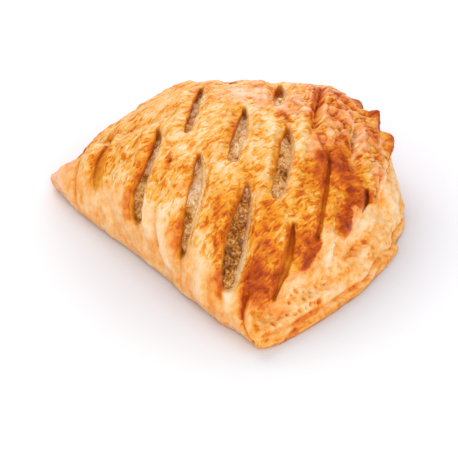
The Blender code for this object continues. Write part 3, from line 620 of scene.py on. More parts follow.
# ---------------------------------------------------------------- the leaves at the side
# How far down the skin the glaze reaches along the arc: places, and t there.
GLAZE_AT = [0.0, 0.140, 0.150, 0.154, 0.159, 0.170, 0.179, 0.189, 0.201, 0.209, 0.216, 0.229, 0.241, 0.246,
            0.253, 0.259, 0.267, 0.273, 0.285, 0.295, 0.304, 0.316, 0.320, 0.328, 0.347, 0.356, 0.365, 0.383,
            0.401, 0.420, 0.50, 0.80]
GLAZE_T = [1.3, 1.3, 1.05, 0.95, 0.84, 0.76, 0.74, 0.735, 0.72, 0.715, 0.74, 0.75, 0.75, 0.71,
           0.62, 0.59, 0.62, 0.68, 0.72, 0.71, 0.62, 0.59, 0.64, 0.65, 0.72, 0.68, 0.63, 0.66,
           0.70, 0.85, 1.3, 1.3]
HOLES = [(57.8, 29.0, 10.0, 0.5), (58.6, 28.0, 9.2, 0.6), (60.0, 29.0, 7.3, 0.6), (60.5, 25.0, 7.0, 0.6), (59.6, 22.6, 8.8, 0.5),
         (60.6, 19.6, 6.9, 0.6), (57.2, 27.0, 10.9, 0.5), (56.6, 21.5, 12.0, 0.5), (60.5, 13.6, 6.9, 0.6), (57.6, 36.0, 10.2, 0.6),
         (56.3, 23.7, 12.5, 0.9), (57.3, 32.4, 10.8, 0.9), (56.6, 33.5, 11.7, 0.7), (60.5, 31.0, 6.8, 1.1),
         (60.2, 27.3, 7.6, 0.9), (60.5, 22.3, 7.5, 1.0), (60.2, 11.3, 7.3, 1.1), (56.7, 24.2, 12.0, 0.6),
         (59.0, 25.3, 9.6, 0.7), (58.0, 19.8, 10.3, 0.6), (59.9, 17.0, 7.6, 0.7), (53.6, 52.0, 12.4, 0.6)]


def leaf_relief(line, p, t):
    """What the torn leaves add to the skin below the rim: mm out, tone, and holes."""
    v = (t - RIM_AT) / (1 - RIM_AT)
    whole = skin(line, np.linspace(RIM_AT, 1, 60)[:, None] + 0 * line.s)
    tall = np.linalg.norm(np.diff(whole, axis=0), axis=-1).sum(0)
    m = v * tall
    a = (line.s * line.length)[None, :] + 0 * m
    room = ease((m + 0.5) / 3.0) * ease((tall - m - 1.0) / 3.5)
    # long soft folds that run along the arc and drop towards the right
    lean = a * 0.16
    soft = noise(flat3(a / 21.0, (m + lean) / 4.6, 0 * a), 33)
    soft2 = noise(flat3(a / 8.0, (m + lean) / 2.6, 0 * a), 34)
    folds = 0.95 * soft + 0.40 * soft2
    phase = (m + lean + 1.6 * noise(flat3(a / 13.0, m / 8.0, 0 * a), 30)) / 3.6
    f = phase - np.floor(phase)
    step = np.where(f < 0.80, f / 0.80, (1 - f) / 0.20)
    strong = ease(0.35 + 1.1 * noise(flat3(a / 11.0, m / 7.0, 0 * a + 2), 32))
    leaves = (step - 0.5) * strong * 0.55
    fine = 0.10 * noise(flat3(a / 1.9, m / 1.3, 0 * a), 35)
    dots = noise(flat3(a / 2.6, m / 1.7, 0 * a), 36)
    holes = ease((dots - 0.50) / 0.20) * ease(0.9 * noise(flat3(a / 13.0, m / 9.0, 0 * a + 5), 37) - 0.15)
    rims = 0 * holes
    for x, y, z, r in HOLES:
        d = np.linalg.norm(p - np.array([x, y, z]), axis=-1) * (1 + 0.5 * noise(p / 1.3, 36))
        holes = np.maximum(holes, np.exp(-(d / (0.8 * r)) ** 2))
        rims = np.maximum(rims, np.exp(-((d - 1.7 * r) / (0.6 * r)) ** 2))
    z = p[..., 2]
    wave = 0.8 * noise(flat3(a / 12.0, 0 * a, 0 * a + 1), 38) + 0.4 * noise(flat3(a / 5.0, 0 * a, 0 * a + 2), 39)
    high = line.field([0.0, 0.15, 0.18, 0.21, 0.26, 0.29, 0.31, 0.33, 0.345, 0.354, 0.37, 0.395, 0.44, 0.6, 0.85],
                      [4.0, 5.8, 5.3, 4.9, 4.7, 3.9, 5.0, 5.2, 3.4, 5.6, 5.4, 3.2, 4.2, 4.4, 4.2])
    crease = np.exp(-((z - high - 0.3 * wave) / 0.62) ** 2)
    lip = ease((high - 0.6 - z) / 1.2) * ease((z + 0.6) / 1.2)
    flare = line.field([0.0, 0.15, 0.17, 0.25, 0.30, 0.335, 0.347, 0.353, 0.36, 0.38, 0.394, 0.402, 0.415, 0.43, 0.45, 0.6, 0.85],
                       [0.0, 0.0, 0.0, 0.0, 0.0, 0.7, 1.1, -1.3, -1.2, 0.2, 0.4, -0.9, 0.2, 0.0, 0.3, 0.3, 0.0])
    out = ((leaves + 1.25 * folds + fine - 0.25) * room + (0.35 * rims - 1.1 * holes) * room
           - 1.5 * crease * ease((m - 1.0) / 2.0) + (0.4 * wave + flare - 0.35) * lip)
    # painted light in the leaves' tone: paler where the folds stand out (painted highlight), darker in the holes
    # (painted shade) and along the crease above the base sheet (a painted shadow line)
    tone = (0.37 + 0.13 * noise(p / 5.5, 26) - 0.17 * folds - 0.06 * strong + 0.50 * crease * (0.6 + 0.5 * wave) + 0.40 * holes - 0.14 * rims
            + 0.20 * lip)
    tone = tone + line.field([0.0, 0.16, 0.20, 0.24, 0.28, 0.33, 0.40, 0.50, 0.85], [0.0, 0.05, 0.05, 0.03, -0.03, -0.06, -0.04, 0.0, 0.0])
    return out, tone, m


# ---------------------------------------------------------------- the upper crust
def blob(p, centre, size, turn=0.0):
    """A soft patch, 1 at its centre: size is (along, across), turn its angle in plan."""
    d = p - np.array(centre, float)
    c, s = math.cos(math.radians(turn)), math.sin(math.radians(turn))
    u, v = d[..., 0] * c + d[..., 1] * s, -d[..., 0] * s + d[..., 1] * c
    return np.exp(-(u / size[0]) ** 2 - (v / size[1]) ** 2 - (d[..., 2] / (1.4 * max(size))) ** 2)


# Patches baked darker (+) or left paler (-): centre, (along, across), turn, amount.
BAKED = [
    # by the right corner and between the slits there
    ((49.5, 10.5, 17.5), (6.5, 4.5), -50, 0.50), ((45.0, 15.5, 22.5), (8, 4), -50, 0.18), ((52.5, 17.0, 16.5), (5, 3.5), -50, 0.22),
    ((36.7, 25.7, 32.2), (10, 4.5), -50, 0.12), ((43.2, 22.7, 26.9), (9, 5), -50, 0.12),
    ((52.7, 31.8, 18.9), (7, 4.0), -60, 0.30), ((49.5, 39.5, 21.8), (5, 3), -70, 0.24), ((47.0, 35.2, 25.5), (8, 4), -55, 0.12),
    ((48.0, 51.3, 21.4), (7, 4.5), -60, 0.16), ((43.0, 56.9, 26.1), (10, 4.5), -60, 0.24), ((38.5, 65.8, 28.8), (8, 4), -60, 0.24),
    ((42.6, 71.0, 21.8), (4.5, 3), -60, 0.20), ((33.0, 51.3, 35.7), (8, 5), -50, 0.34), ((31.9, 61.3, 35.2), (8, 4.5), -50, 0.26),
    ((24.6, 72.4, 37.2), (6, 4), -50, 0.26), ((28.8, 58.1, 37.7), (5, 3.5), -50, 0.18), ((34.0, 66.0, 32.5), (6, 4), -50, 0.20),
    ((20.0, 88.0, 32.5), (5, 5), 0, 0.20), ((8.8, 58.4, 44.5), (3.2, 1.5), 0, 0.34), ((12.0, 55.0, 44.6), (4.0, 1.5), 0, 0.26),
    # amber fields of the middle strips
    ((27.2, 18.9, 36.3), (8, 4), -50, 0.14), ((27.0, 11.6, 33.1), (9, 4.5), -50, 0.13), ((30.9, 6.5, 27.2), (5, 3), -50, 0.06),
    ((24.5, 31.2, 39.7), (5, 4), -50, 0.05), ((4.1, 29.7, 44.3), (7, 3.5), -50, 0.10), ((-0.8, 9.1, 35.5), (8, 4.5), -50, 0.06),
    ((5.5, 12.0, 37.6), (7, 4), -50, 0.04), ((-23.7, 10.3, 33.2), (9, 6), -50, 0.09), ((-15.1, 12.8, 36.5), (8, 4), -50, 0.14),
    ((-35.8, 6.6, 26.0), (6, 4), -50, 0.02), ((19.2, 1.7, 22.4), (7, 2.5), -60, 0.14), ((-9.5, 0.9, 23.3), (8, 3), -70, 0.14),
    ((20.3, 43.4, 42.8), (6, 3), -50, 0.08), ((3.0, 39.4, 45.9), (6, 2.5), -50, 0.06),
    ((37.7, 25.0, 31.0), (10, 5), -50, 0.12), ((43.8, 38.2, 28.6), (9, 4.5), -55, 0.13), ((27.4, 11.9, 33.1), (7, 4), -50, 0.06),
    ((-3, 83, 38.8), (15, 4.5), -10, 0.16), ((-18, 66, 42), (8, 4), -50, 0.10),
    # paler fields
    ((5.3, 24.3, 42.8), (9, 6), -50, -0.06), ((-9.8, 22.5, 42.0), (9, 6), -50, -0.08), ((17.0, 26.1, 42.2), (9, 5), -50, -0.10),
    ((11.2, 46.4, 45.2), (10, 6), -50, -0.06), ((-6, 46, 45.5), (9, 5), -50, 0.05), ((18.7, 35.8, 42.9), (7, 5), -50, -0.08), ((-7.2, 33.9, 45.0), (8, 5), -50, -0.02),
    ((-21.0, -1.4, 15.6), (8, 6), 0, -0.10), ((31.3, 24.8, 33.9), (3, 2.5), -50, -0.14), ((23.7, 52.2, 40.9), (7, 5), -50, -0.10),
    # the -0.60 patch at (46.0, 2.3, 14.3) is a painted highlight
    ((-18.2, 3.9, 28.0), (5, 6), -60, -0.14), ((-3.3, -0.9, 12.4), (10, 6), 0, -0.04), ((46.0, 2.3, 14.3), (3.0, 2.2), -50, -0.60),
    ((46.5, 0.3, 8.4), (5, 3), 0, 0.10), ((-10.0, 55.0, 44.8), (12, 8), -50, -0.05),
    ((10, 84, 38), (16, 8), -40, 0.06), ((26, 80, 34), (9, 6), -40, 0.06), ((20, 66, 41.5), (13, 4.5), -50, 0.08),
    ((9.5, 75.5, 41.0), (9, 3.0), -45, 0.10), ((30, 73, 33.5), (7, 2.5), -50, 0.10),
    # the back and the far side
    ((-2, 98, 31), (12, 7), 0, 0.22), ((-24, 90, 30), (16, 8), 20, 0.20), ((-48, 66, 26), (16, 8), 50, 0.18),
    ((-57, 35, 21), (12, 6), 70, 0.16), ((-36, 52, 38), (12, 9), -45, 0.06), ((-20, 72, 41), (10, 7), -45, 0.06),
    ((-1.6, 13.9, 38.8), (1.6, 1.2), -50, 0.32), ((-9.8, 91.8, 34.9), (1.6, 1.4), 0, 0.5), ((1.5, 90.0, 35.6), (8, 3), 0, 0.16),
]
# Browner (+) and paler streaks on the bare leaves of the right slope, in the same way; the first, paler streak is a
# painted highlight on a fold.
STREAKS = [((53.2, 41.2, 15.0), (3.4, 1.3), -50, -0.30), ((50.5, 46.1, 17.1), (2.6, 1.2), -60, 0.12),
           ((50.9, 56.7, 12.7), (2.8, 1.1), -76, 0.26), ((50.1, 60.8, 12.2), (2.2, 0.9), -76, 0.20),
           ((52.0, 52.0, 12.8), (3.2, 0.9), -76, 0.18), ((54.5, 56.1, 8.6), (5.0, 0.8), -76, 0.16),
           ((56.0, 49.1, 9.3), (5.0, 0.9), -76, 0.15), ((56.8, 43.8, 9.9), (4.0, 0.9), -70, 0.13),
           ((52.2, 62.3, 9.1), (5.0, 0.9), -78, 0.16), ((54.0, 46.5, 13.0), (4.0, 0.8), -72, 0.15),
           ((57.1, 34.9, 10.6), (2.5, 0.9), -65, 0.16), ((48.6, 63.5, 13.2), (3.0, 0.9), -78, 0.16)]
# Where the glazed sheet is finely wrinkled: centre, (along, across), turn.
WRINKLED = [((10, 80, 39.0), (18, 10), -40), ((3, 72, 42.3), (9, 6), -50), ((27, 82, 31), (9, 7), -50), ((7, 69, 42.8), (6, 5), -50), ((21, 68, 40.5), (9, 4), -50),
            ((36, 80, 26), (5, 4), -60)]
# Places that stand up from the plain skin (+) or sink: centre, (along, across), turn, mm.
SWOLLEN = [((2, 84, 38.5), (16, 9), 0, 1.4), ((-57, 8, 19), (8, 8), 0, -1.6), ((-8, -1.5, 6), (26, 3), 0, -0.7)]
# Smooth swollen places where the glaze shines, with a painted pinkish sheen in their colour: centre, (along, across),
# turn.
SHINY = [((2.5, 69.0, 43.1), (8, 4.5), -50), ((14.3, 78.2, 38.9), (7, 5), -50), ((23.5, 86.8, 31.5), (5, 5), 0),
         ((23.5, 60.7, 40.1), (7, 3.5), -50), ((-13.5, 55.1, 44.5), (9, 6.5), -40), ((-6.0, 58.5, 44.8), (7, 4.5), -50), ((3.8, 61.7, 44.5), (6, 3.5), -50),
         ((-50.9, -1.2, 10.8), (8, 7), 0), ((35.9, 79.9, 26.2), (6, 4), -50), ((49.6, 46.5, 21.0), (2, 2), 0),
         ((47.6, 57.0, 20.0), (6, 2.0), -70), ((-14.0, 64.0, 43.5), (5, 3), -50)]


def crust_cover(s):
    """1 where the crust runs down to the table, 0 where it stops at the rim."""
    return 1 - ease((s - 0.394) / 0.030) * (1 - ease((s - 0.826) / 0.026))


def upper_crust(material):
    n, rows = 768, 152
    line = Outline(n)
    s = line.s
    cover = crust_cover(s)
    t_end = RIM_AT + 0.012 + (1 - RIM_AT - 0.012) * cover
    t, run = even_rows(line, t_end, rows)
    p = skin(line, t)
    up = normals_of(p)
    flat, un = p.reshape(-1, 3), up.reshape(-1, 3)
    move = np.zeros_like(flat)
    fields = {k: np.zeros(len(flat)) for k in ("wall", "wallu", "shade", "pale", "calm", "tone")}
    for feature in SLITS + FOLDS:
        feature.bend(flat, un, move, fields)
    calm = 1 - fields["calm"]
    share = np.repeat(np.linspace(0, 1, rows + 1), n)
    tt = t.reshape(-1)
    front = np.tile(line.fold, rows + 1) * ease((tt - 0.60) / 0.14)
    # the torn leaves show below the glaze along the right slope
    leaf_out, leaf_tone, m = leaf_relief(line, p, t)
    past = ((t - line.field(GLAZE_AT, GLAZE_T)[None, :]) * (run / t_end)[None, :]).reshape(-1)
    past = past + 1.6 * noise(flat / 4.6, 14) + 0.8 * noise(flat / 1.9, 15) + 0.4 * noise(flat / 0.9, 19)
    arc = np.tile(ease((s - 0.152) / 0.016) * (1 - ease((s - 0.46) / 0.02)), rows + 1)
    bare = arc * ease((past + 0.7) / 1.7)
    fringe = arc * np.exp(-((past + 1.2) / 1.1) ** 2)
    low = arc * ease((tt - RIM_AT + 0.02) / 0.05)
    # broad unevenness, lumps and the wrinkles of the glazed sheet
    shine = np.zeros(len(flat))
    for centre_, size, turn in SHINY:
        shine = np.maximum(shine, blob(flat, centre_, size, turn))
    shine = ease((shine + 0.60 * noise(flat / 2.8, 16) + 0.45 * noise(flat / 1.2, 18) - 0.38) / 0.35)
    lumps = 0.85 * noise(flat / 15.0, 1) + 0.45 * noise(flat / 6.5, 2) + 0.15 * noise(flat / 2.6, 3) * (1 - shine)
    warp = flat3(1.5 * noise(flat / 6.0, 4), 0 * flat[:, 0], 0 * flat[:, 0])
    q = flat + warp
    ripple = noise(flat3(q[:, 0] / 1.7, q[:, 1] / 4.0, q[:, 2] / 4.0), 5)
    ripple2 = noise(flat3(q[:, 0] / 1.1, q[:, 1] / 2.8, q[:, 2] / 2.8), 6)
    patch = ease(0.55 + 0.9 * noise(flat / 10.0, 7))
    ridge = ease(1 - np.abs(ripple) / 0.36)
    ridge2 = ease(1 - np.abs(ripple2) / 0.34)
    rough = np.zeros(len(flat))
    for centre_, size, turn in WRINKLED:
        rough = np.maximum(rough, blob(flat, centre_, size, turn))
    rough = ease(rough * 1.6)
    # besides gloss, shine paints a pinkish sheen into the colour on the wrinkled places; along the fringe and on the
    # front it gives a real pink tint
    shine = np.maximum(shine, rough * ease(0.5 + 1.3 * noise(flat / 4.4, 24) + 0.5 * noise(flat / 2.0, 27)))
    shine = np.maximum(np.maximum(shine, 0.9 * fringe), 0.40 * front)
    wrinkle = noise(flat3(q[:, 0] / 2.6, q[:, 1] / 4.2, q[:, 2] / 3.4), 23)
    crease = ease(1 - np.abs(wrinkle) / 0.22)
    crinkle = (0.34 * ridge + 0.14 * ridge2 + 0.12 * ripple) * (0.25 + 0.75 * patch) * (1 - 0.75 * front) * (1 - 0.8 * shine) - 0.15
    for centre_, size, turn, amount in SWOLLEN:
        lumps += amount * blob(flat, centre_, size, turn)
    lumps += rough * (0.90 * noise(flat / 4.4, 24) + 0.38 * noise(flat / 2.1, 25) - 0.75 * crease)
    height = (lumps * (1 - 0.5 * low) + crinkle * (1 - bare)) * (0.15 + 0.85 * calm) + 0.35 * shine
    height += (0.30 * noise(flat / 1.5, 20) + 0.16 * noise(flat / 0.8, 22)) * fields["wall"]
    height += leaf_out.reshape(-1) * low
    move += un * height[:, None]
    for x, y, z, r in ((-1.6, 13.9, 38.8, 1.0), (-9.8, 91.8, 34.9, 1.2)):
        pit = np.linalg.norm(flat - np.array([x, y, z]), axis=1)
        move -= un * (0.9 * np.exp(-(pit / r) ** 2) - 0.35 * np.exp(-((pit - 1.9 * r) / (0.9 * r)) ** 2))[:, None]
    # the corner's foot swells out
    foot = np.exp(-(np.linalg.norm((flat - np.array([61.0, 2.0, 2.5])) / np.array([7.0, 6.0, 6.0]), axis=1)) ** 2)
    move += un * np.array([1.0, 1.0, 0.3]) * (-0.4 * foot)[:, None]
    # lobes and rags of the rim where it stands free
    arc_mm = s * line.length
    lobes = np.interp(s, [0.385, 0.397, 0.404, 0.412, 0.432, 0.441, 0.449, 0.458, 0.468, 0.477, 0.484, 0.4885, 0.497, 0.506, 0.520,
                          0.545, 0.560, 0.585, 0.600, 0.640, 0.655, 0.690, 0.705, 0.745, 0.760, 0.810, 0.850],
                      [0.0, 0.9, 0.4, -1.0, 1.6, 2.8, -0.2, -1.0, 1.4, 3.2, 0.4, -1.8, 0.6, 1.9, -0.6,
                       1.4, -0.6, 1.5, -0.4, 1.1, -0.4, 0.6, -0.5, 0.3, -0.6, 0.0, 0.0])
    rag = 0.6 * noise(flat3(arc_mm / 5.0, 0 * s, 0 * s), 8) + 0.3 * noise(flat3(arc_mm / 1.9, 0 * s, 0 * s), 9)
    out = (0.6 + lobes + rag) * (1 - cover)
    centre = np.array([0.0, CENTRE_SHARE * DEPTH])
    way = p[-1, :, :2] - centre
    way /= np.linalg.norm(way, axis=1, keepdims=True)
    near_rim = np.exp(-((1 - np.linspace(0, 1, rows + 1))[:, None] * run / 5.0) ** 1.5)
    move = move.reshape(p.shape)
    move[..., :2] += way * (near_rim * out)[..., None]
    lift = (0.5 * lobes - 0.3 + 0.7 * noise(flat3(arc_mm / 7.0, 0 * s, 0 * s), 10)) * (1 - cover)
    move[..., 2] += near_rim * lift
    grid = p + move
    grid[..., 2] = np.maximum(grid[..., 2], 0.0)
    grid[-1, :, 2] = np.where(cover > 0.995, 0.0, grid[-1, :, 2])
    grid[0] = grid[1].mean(0)
    # browning
    baked = 0.49 + 0.11 * layered_noise(flat / 9.0, 2, 11) + 0.10 * noise(flat / 3.5, 17) + fields["tone"]
    for centre_, size, turn, amount in BAKED:
        baked += amount * blob(flat, centre_, size, turn)
    baked = mix(baked, np.minimum(baked, 0.52), fringe)
    edge = np.tile(1 - cover, rows + 1) * np.exp(-((1 - share) * np.tile(run, rows + 1) / (3.2 + 1.6 * noise(flat / 3.0, 12))) ** 2)
    baked += 0.26 * edge + 0.12 * edge**4
    baked += rough * calm * (0.26 * crease - 0.16 * noise(flat / 4.4, 24) - 0.14 * noise(flat / 2.1, 25) - 0.05)
    # the pale field carries the painted highlight on the strips' shoulders beside the slits
    baked -= 0.06 * front + 0.30 * fields["pale"] * (1 - np.clip((baked - 0.45) / 0.3, 0, 1))
    streaks = sum(amount * blob(flat, centre_, size, turn) for centre_, size, turn, amount in STREAKS)
    streaks = streaks * (1.25 + 1.4 * noise(flat / 1.3, 21))
    tone = mix(np.minimum(baked, 0.93), leaf_tone.reshape(-1) + 0.5 * fields["tone"] + streaks, bare)
    values = dict(tone=tone, wall=fields["wall"], wallu=fields["wallu"], shade=fields["shade"], bare=bare,
                  shine=shine * (1 - 0.5 * bare) * calm, front=front, grain=(1 - bare) * (1 - 0.7 * front) * (1 - shine) * calm)
    values = {k: v.reshape(rows + 1, n) for k, v in values.items()}
    # the sheet's edge: rolled under at the rim, tucked in at the table
    tail, last = [], grid[-1]
    o3 = np.concatenate([way, np.zeros((n, 1))], 1)
    thick = 1.3 + 0.4 * noise(flat3(arc_mm / 6.0, 0 * s, 0 * s + 4.0), 13)
    for a in (30, 65, 100, 140, 180):
        r = math.radians(a)
        arc_ = o3 * (thick / 2 * math.sin(r))[:, None] + np.array([0, 0, -1.0]) * (thick / 2 * (1 - math.cos(r)))[:, None]
        tuck = o3 * (-3.0 * a / 180) + np.array([0, 0, 1.0]) * (0.3 + 1.2 * a / 180)
        tail.append(last + mix(arc_, tuck, cover[:, None]))
    under = tail[-1]
    for far, rise in ((3.0, 0.4), (7.0, -0.6)):
        tail.append(under - o3 * far + np.array([0, 0, 1.0]) * mix(rise, far * 0.6, cover)[:, None])
    inner = tail[-1]
    for part in (0.82, 0.6, 0.4, 0.2, 0.0):
        flat_in = centre + (inner[:, :2] - centre) * part
        tail.append(np.concatenate([flat_in, mix(33.0, inner[:, 2], part**2)[:, None]], 1))
    grid = np.concatenate([grid, np.array(tail)])
    values = {k: np.concatenate([v, np.repeat(v[-1:], len(tail), axis=0)]) for k, v in values.items()}
    points, counts, values = thinned(grid, values, 0.60)
    return piece("upper_crust", points, outward("crust", points, web(counts)), values, material)


# ---------------------------------------------------------------- layered side and base
def uneven_places(n, dense_from, dense_to, share):
    """n places round the outline, that share of them between the two given places."""
    m = int(n * share)
    a = np.linspace(dense_from, dense_to, m, endpoint=False)
    b = dense_to + (1 - dense_to + dense_from) * np.arange(n - m) / (n - m)
    return np.concatenate([a, b])


class Stretch:
    """An outline sampled at uneven places."""

    def __init__(self, line, s):
        n = line.n
        x = (s % 1.0) * n

        def at(v):
            return np.interp(x, np.arange(n + 1), np.append(v, v[0]))

        self.n, self.s, self.length, self.places = len(s), s % 1.0, line.length, line.places
        self.sharp = np.array([at(v) for v in line.sharp])
        self.soft = np.array([at(v) for v in line.soft])
        self.round = np.array([at(v) for v in line.round])
        self.fold, self.rim_z, self.rim_r = at(line.fold), at(line.rim_z), at(line.rim_r)
        self.dome, self.edge = at(line.dome), at(line.edge)

    ring = Outline.ring

    def field(self, knots, values):
        return between(knots, values, self.s)


def layered_side(material):
    n, rows = 832, 70
    line = Stretch(Outline(4000), uneven_places(n, 0.375, 0.870, 0.80))
    s = line.s
    cover = crust_cover(s)
    t, run = even_rows(line, 0 * s + 1.0, rows, first=RIM_AT + 0.012)
    p = skin(line, t)
    centre = np.array([0.0, CENTRE_SHARE * DEPTH])
    way = p[-1, :, :2] - centre
    way /= np.linalg.norm(way, axis=1, keepdims=True)
    o3 = np.concatenate([way, np.zeros((n, 1))], 1)
    up = normals_of(p)
    out, tone, m = leaf_relief(line, p, t)
    p = p + up * out[..., None]
    under = 1 - ease(m / 2.6)
    p[..., :2] -= way * (under * 1.5)[..., None]
    p[..., 2] -= under * 0.9
    # where the crust covers the whole side, this body keeps inside it
    inside = ease((cover - 0.55) / 0.42)
    p[..., :2] -= way * (inside * 3.6)[..., None]
    p[..., 2] = mix(p[..., 2], np.minimum(p[..., 2], 9.0) * 0.8, inside)
    p[..., 2] = np.maximum(p[..., 2], 0.0)
    p[-1, :, 2] = 0.0
    one = np.ones_like(tone)
    values = {"tone": tone + 0.12 * under, "bare": one, "wall": 0 * one, "wallu": 0 * one, "shade": 0 * one,
              "shine": 0 * one, "front": 0 * one, "grain": 0 * one}
    # over the top and down the inside to the base sheet, hidden by the crust and filling
    head, first = [], p[0]
    for far, drop in ((9.0, None), (8.0, -1.0)):
        z0 = 3.4 + 0 * first[:, 2] if drop is None else first[:, 2] + drop
        head.append(first * np.array([1, 1, 0]) - o3 * far + np.array([0, 0, 1.0]) * np.minimum(z0, first[:, 2])[:, None])
    lead, foot = [], []
    for part in (0.0, 0.12, 0.25, 0.5, 0.8):
        xy = centre + (head[0][:, :2] - centre) * part
        lead.append(np.concatenate([xy, 3.4 + 0 * xy[:, :1]], 1))
    for part in (0.985, 0.94, 0.8, 0.5, 0.25, 0.12, 0.0):
        xy = centre + (p[-1, :, :2] - centre) * part
        foot.append(np.concatenate([xy, 0 * xy[:, :1]], 1))
    grid = np.concatenate([np.array(lead), np.array(head), p, np.array(foot)])
    before, after = len(lead) + len(head), len(foot)
    values = {k: np.concatenate([np.repeat(w[:1], before, 0), w, np.repeat(w[-1:], after, 0)]) for k, w in values.items()}
    values["tone"][-after:] = 0.46
    points, counts, values = thinned(grid, values, 0.60)
    return piece("layered_side", points, outward("side", points, web(counts)), values, material)


# ---------------------------------------------------------------- the filling
def apple_filling(material):
    n = 512
    line = Outline(n)
    s = line.s
    cover = crust_cover(s)
    t, run = even_rows(line, mix(0.60, 0.88, cover * line.fold), 110)
    p = skin(line, t)
    up = normals_of(p)
    flat = p.reshape(-1, 3)
    lump = 0.8 * noise(flat / 5.2, 50) + 0.45 * noise(flat / 2.2, 51) + 0.30 * noise(flat / 1.1, 52)
    chunk = 1 - np.abs(noise(flat / 3.4, 53)) * 2.2
    h = -4.3 + lump + 0.5 * chunk
    p = p + up * h.reshape(p.shape[:2])[..., None]
    p[..., 2] = np.maximum(p[..., 2], 3.8)
    p[0] = p[1].mean(0)
    centre = np.array([0.0, CENTRE_SHARE * DEPTH])
    tail = []
    for part in (0.97, 0.8, 0.55, 0.3, 0.12, 0.0):
        xy = centre + (p[-1, :, :2] - centre) * part
        tail.append(np.concatenate([xy, 3.7 + 0 * xy[:, :1]], 1))
    grid = np.concatenate([p, np.array(tail)])
    light_ = 0.0
    for centre_, size, turn, amount in PALE_FILLING:
        light_ = light_ + amount * blob(flat, centre_, size, turn)
    values = {"lump": np.concatenate([(lump * 0.14 + light_).reshape(p.shape[:2]), np.zeros((len(tail), n))])}
    points, counts, values = thinned(grid, values, 0.75)
    return piece("apple_pieces", points, outward("filling", points, web(counts)), values, material)


# Where the apple is paler (+) or browner (-): centre, (along, across), turn, amount.
PALE_FILLING = [((2, 44, 41), (9, 5), -50, 0.22), ((12, 34, 40), (6, 4), -50, 0.06), ((13, 14, 33), (9, 5), -55, 0.20),
                ((20, 5, 24), (6, 4), -60, 0.05), ((37, 13, 22), (10, 5), -52, -0.16), ((30, 23, 30), (6, 4), -50, -0.10),
                ((24, 46, 36), (10, 5), -50, -0.06), ((29, 39, 34), (5, 4), -50, 0.04), ((-10, 12, 32), (7, 4), -55, 0.02),
                ((-6, 2, 22), (7, 4), -65, 0.06), ((-22, 41, 38), (12, 5), -47, 0.24), ((-4, 62, 40), (10, 5), -40, 0.14)]


# ---------------------------------------------------------------- materials
class Nodes:
    def __init__(self, name):
        self.mat = bpy.data.materials.new(name)
        self.mat.use_nodes = True
        self.tree = self.mat.node_tree
        self.shader = self.tree.nodes["Principled BSDF"]

    def new(self, kind, **settings):
        node = self.tree.nodes.new(kind)
        for k, v in settings.items():
            if hasattr(node, k):
                setattr(node, k, v)
        return node

    def put(self, value, socket):
        if isinstance(value, (int, float)):
            socket.default_value = value
        elif isinstance(value, tuple):
            socket.default_value = value
        else:
            self.tree.links.new(value, socket)

    def field(self, name):
        node = self.new("ShaderNodeAttribute", attribute_name=name, attribute_type="GEOMETRY")
        return node.outputs["Fac"]

    def math(self, how, a, b=0.0, c=None, clamp=False):
        node = self.new("ShaderNodeMath", operation=how, use_clamp=clamp)
        self.put(a, node.inputs[0])
        self.put(b, node.inputs[1])
        if c is not None:
            self.put(c, node.inputs[2])
        return node.outputs[0]

    def scaled(self, x, y, z, offset=(0, 0, 0)):
        where = self.new("ShaderNodeTexCoord")
        node = self.new("ShaderNodeMapping")
        node.inputs["Scale"].default_value = (x, y, z)
        node.inputs["Location"].default_value = offset
        self.tree.links.new(where.outputs["Object"], node.inputs["Vector"])
        return node.outputs[0]

    def noise(self, vector, scale=1.0, detail=3.0, rough=0.55, bend=0.0):
        node = self.new("ShaderNodeTexNoise")
        self.tree.links.new(vector, node.inputs["Vector"])
        node.inputs["Scale"].default_value = scale
        node.inputs["Detail"].default_value = detail
        node.inputs["Roughness"].default_value = rough
        node.inputs["Distortion"].default_value = bend
        return node.outputs["Fac"]

    def cells(self, vector, scale=1.0, feature="F1"):
        node = self.new("ShaderNodeTexVoronoi", feature=feature)
        self.tree.links.new(vector, node.inputs["Vector"])
        node.inputs["Scale"].default_value = scale
        return node.outputs["Distance"]

    def ramp(self, value, stops, how="LINEAR"):
        node = self.new("ShaderNodeValToRGB")
        node.color_ramp.interpolation = how
        marks = node.color_ramp.elements
        while len(marks) < len(stops):
            marks.new(0.5)
        for mark, (at, colour) in zip(marks, stops):
            mark.position = at
            mark.color = srgb(*colour) if len(colour) == 3 else colour
        self.put(value, node.inputs["Fac"])
        return node.outputs["Color"]

    def blend(self, a, b, how_much, mode="MIX"):
        node = self.new("ShaderNodeMix", data_type="RGBA", blend_type=mode)
        self.put(how_much, node.inputs[0])
        self.put(a, node.inputs[6])
        self.put(b, node.inputs[7])
        return node.outputs[2]

    def bump(self, height, distance, strength=1.0, normal=None):
        node = self.new("ShaderNodeBump")
        node.inputs["Distance"].default_value = distance
        node.inputs["Strength"].default_value = strength
        self.put(height, node.inputs["Height"])
        if normal is not None:
            self.put(normal, node.inputs["Normal"])
        return node.outputs["Normal"]

    def finish(self, **sockets):
        for name, value in sockets.items():
            self.put(value, self.shader.inputs[name.replace("_", " ")])
        return self.mat


def srgb(r, g, b, a=1.0):
    def lin(c):
        c = c / 255.0
        return c / 12.92 if c <= 0.04045 else ((c + 0.055) / 1.055) ** 2.4
    return (lin(r), lin(g), lin(b), a)


BAKE_COLOURS = [(0.00, (253, 228, 194)), (0.14, (252, 212, 160)), (0.28, (250, 196, 120)),
                (0.42, (248, 177, 70)), (0.56, (240, 153, 32)), (0.68, (228, 120, 22)),
                (0.82, (204, 88, 22)), (1.00, (156, 56, 18))]


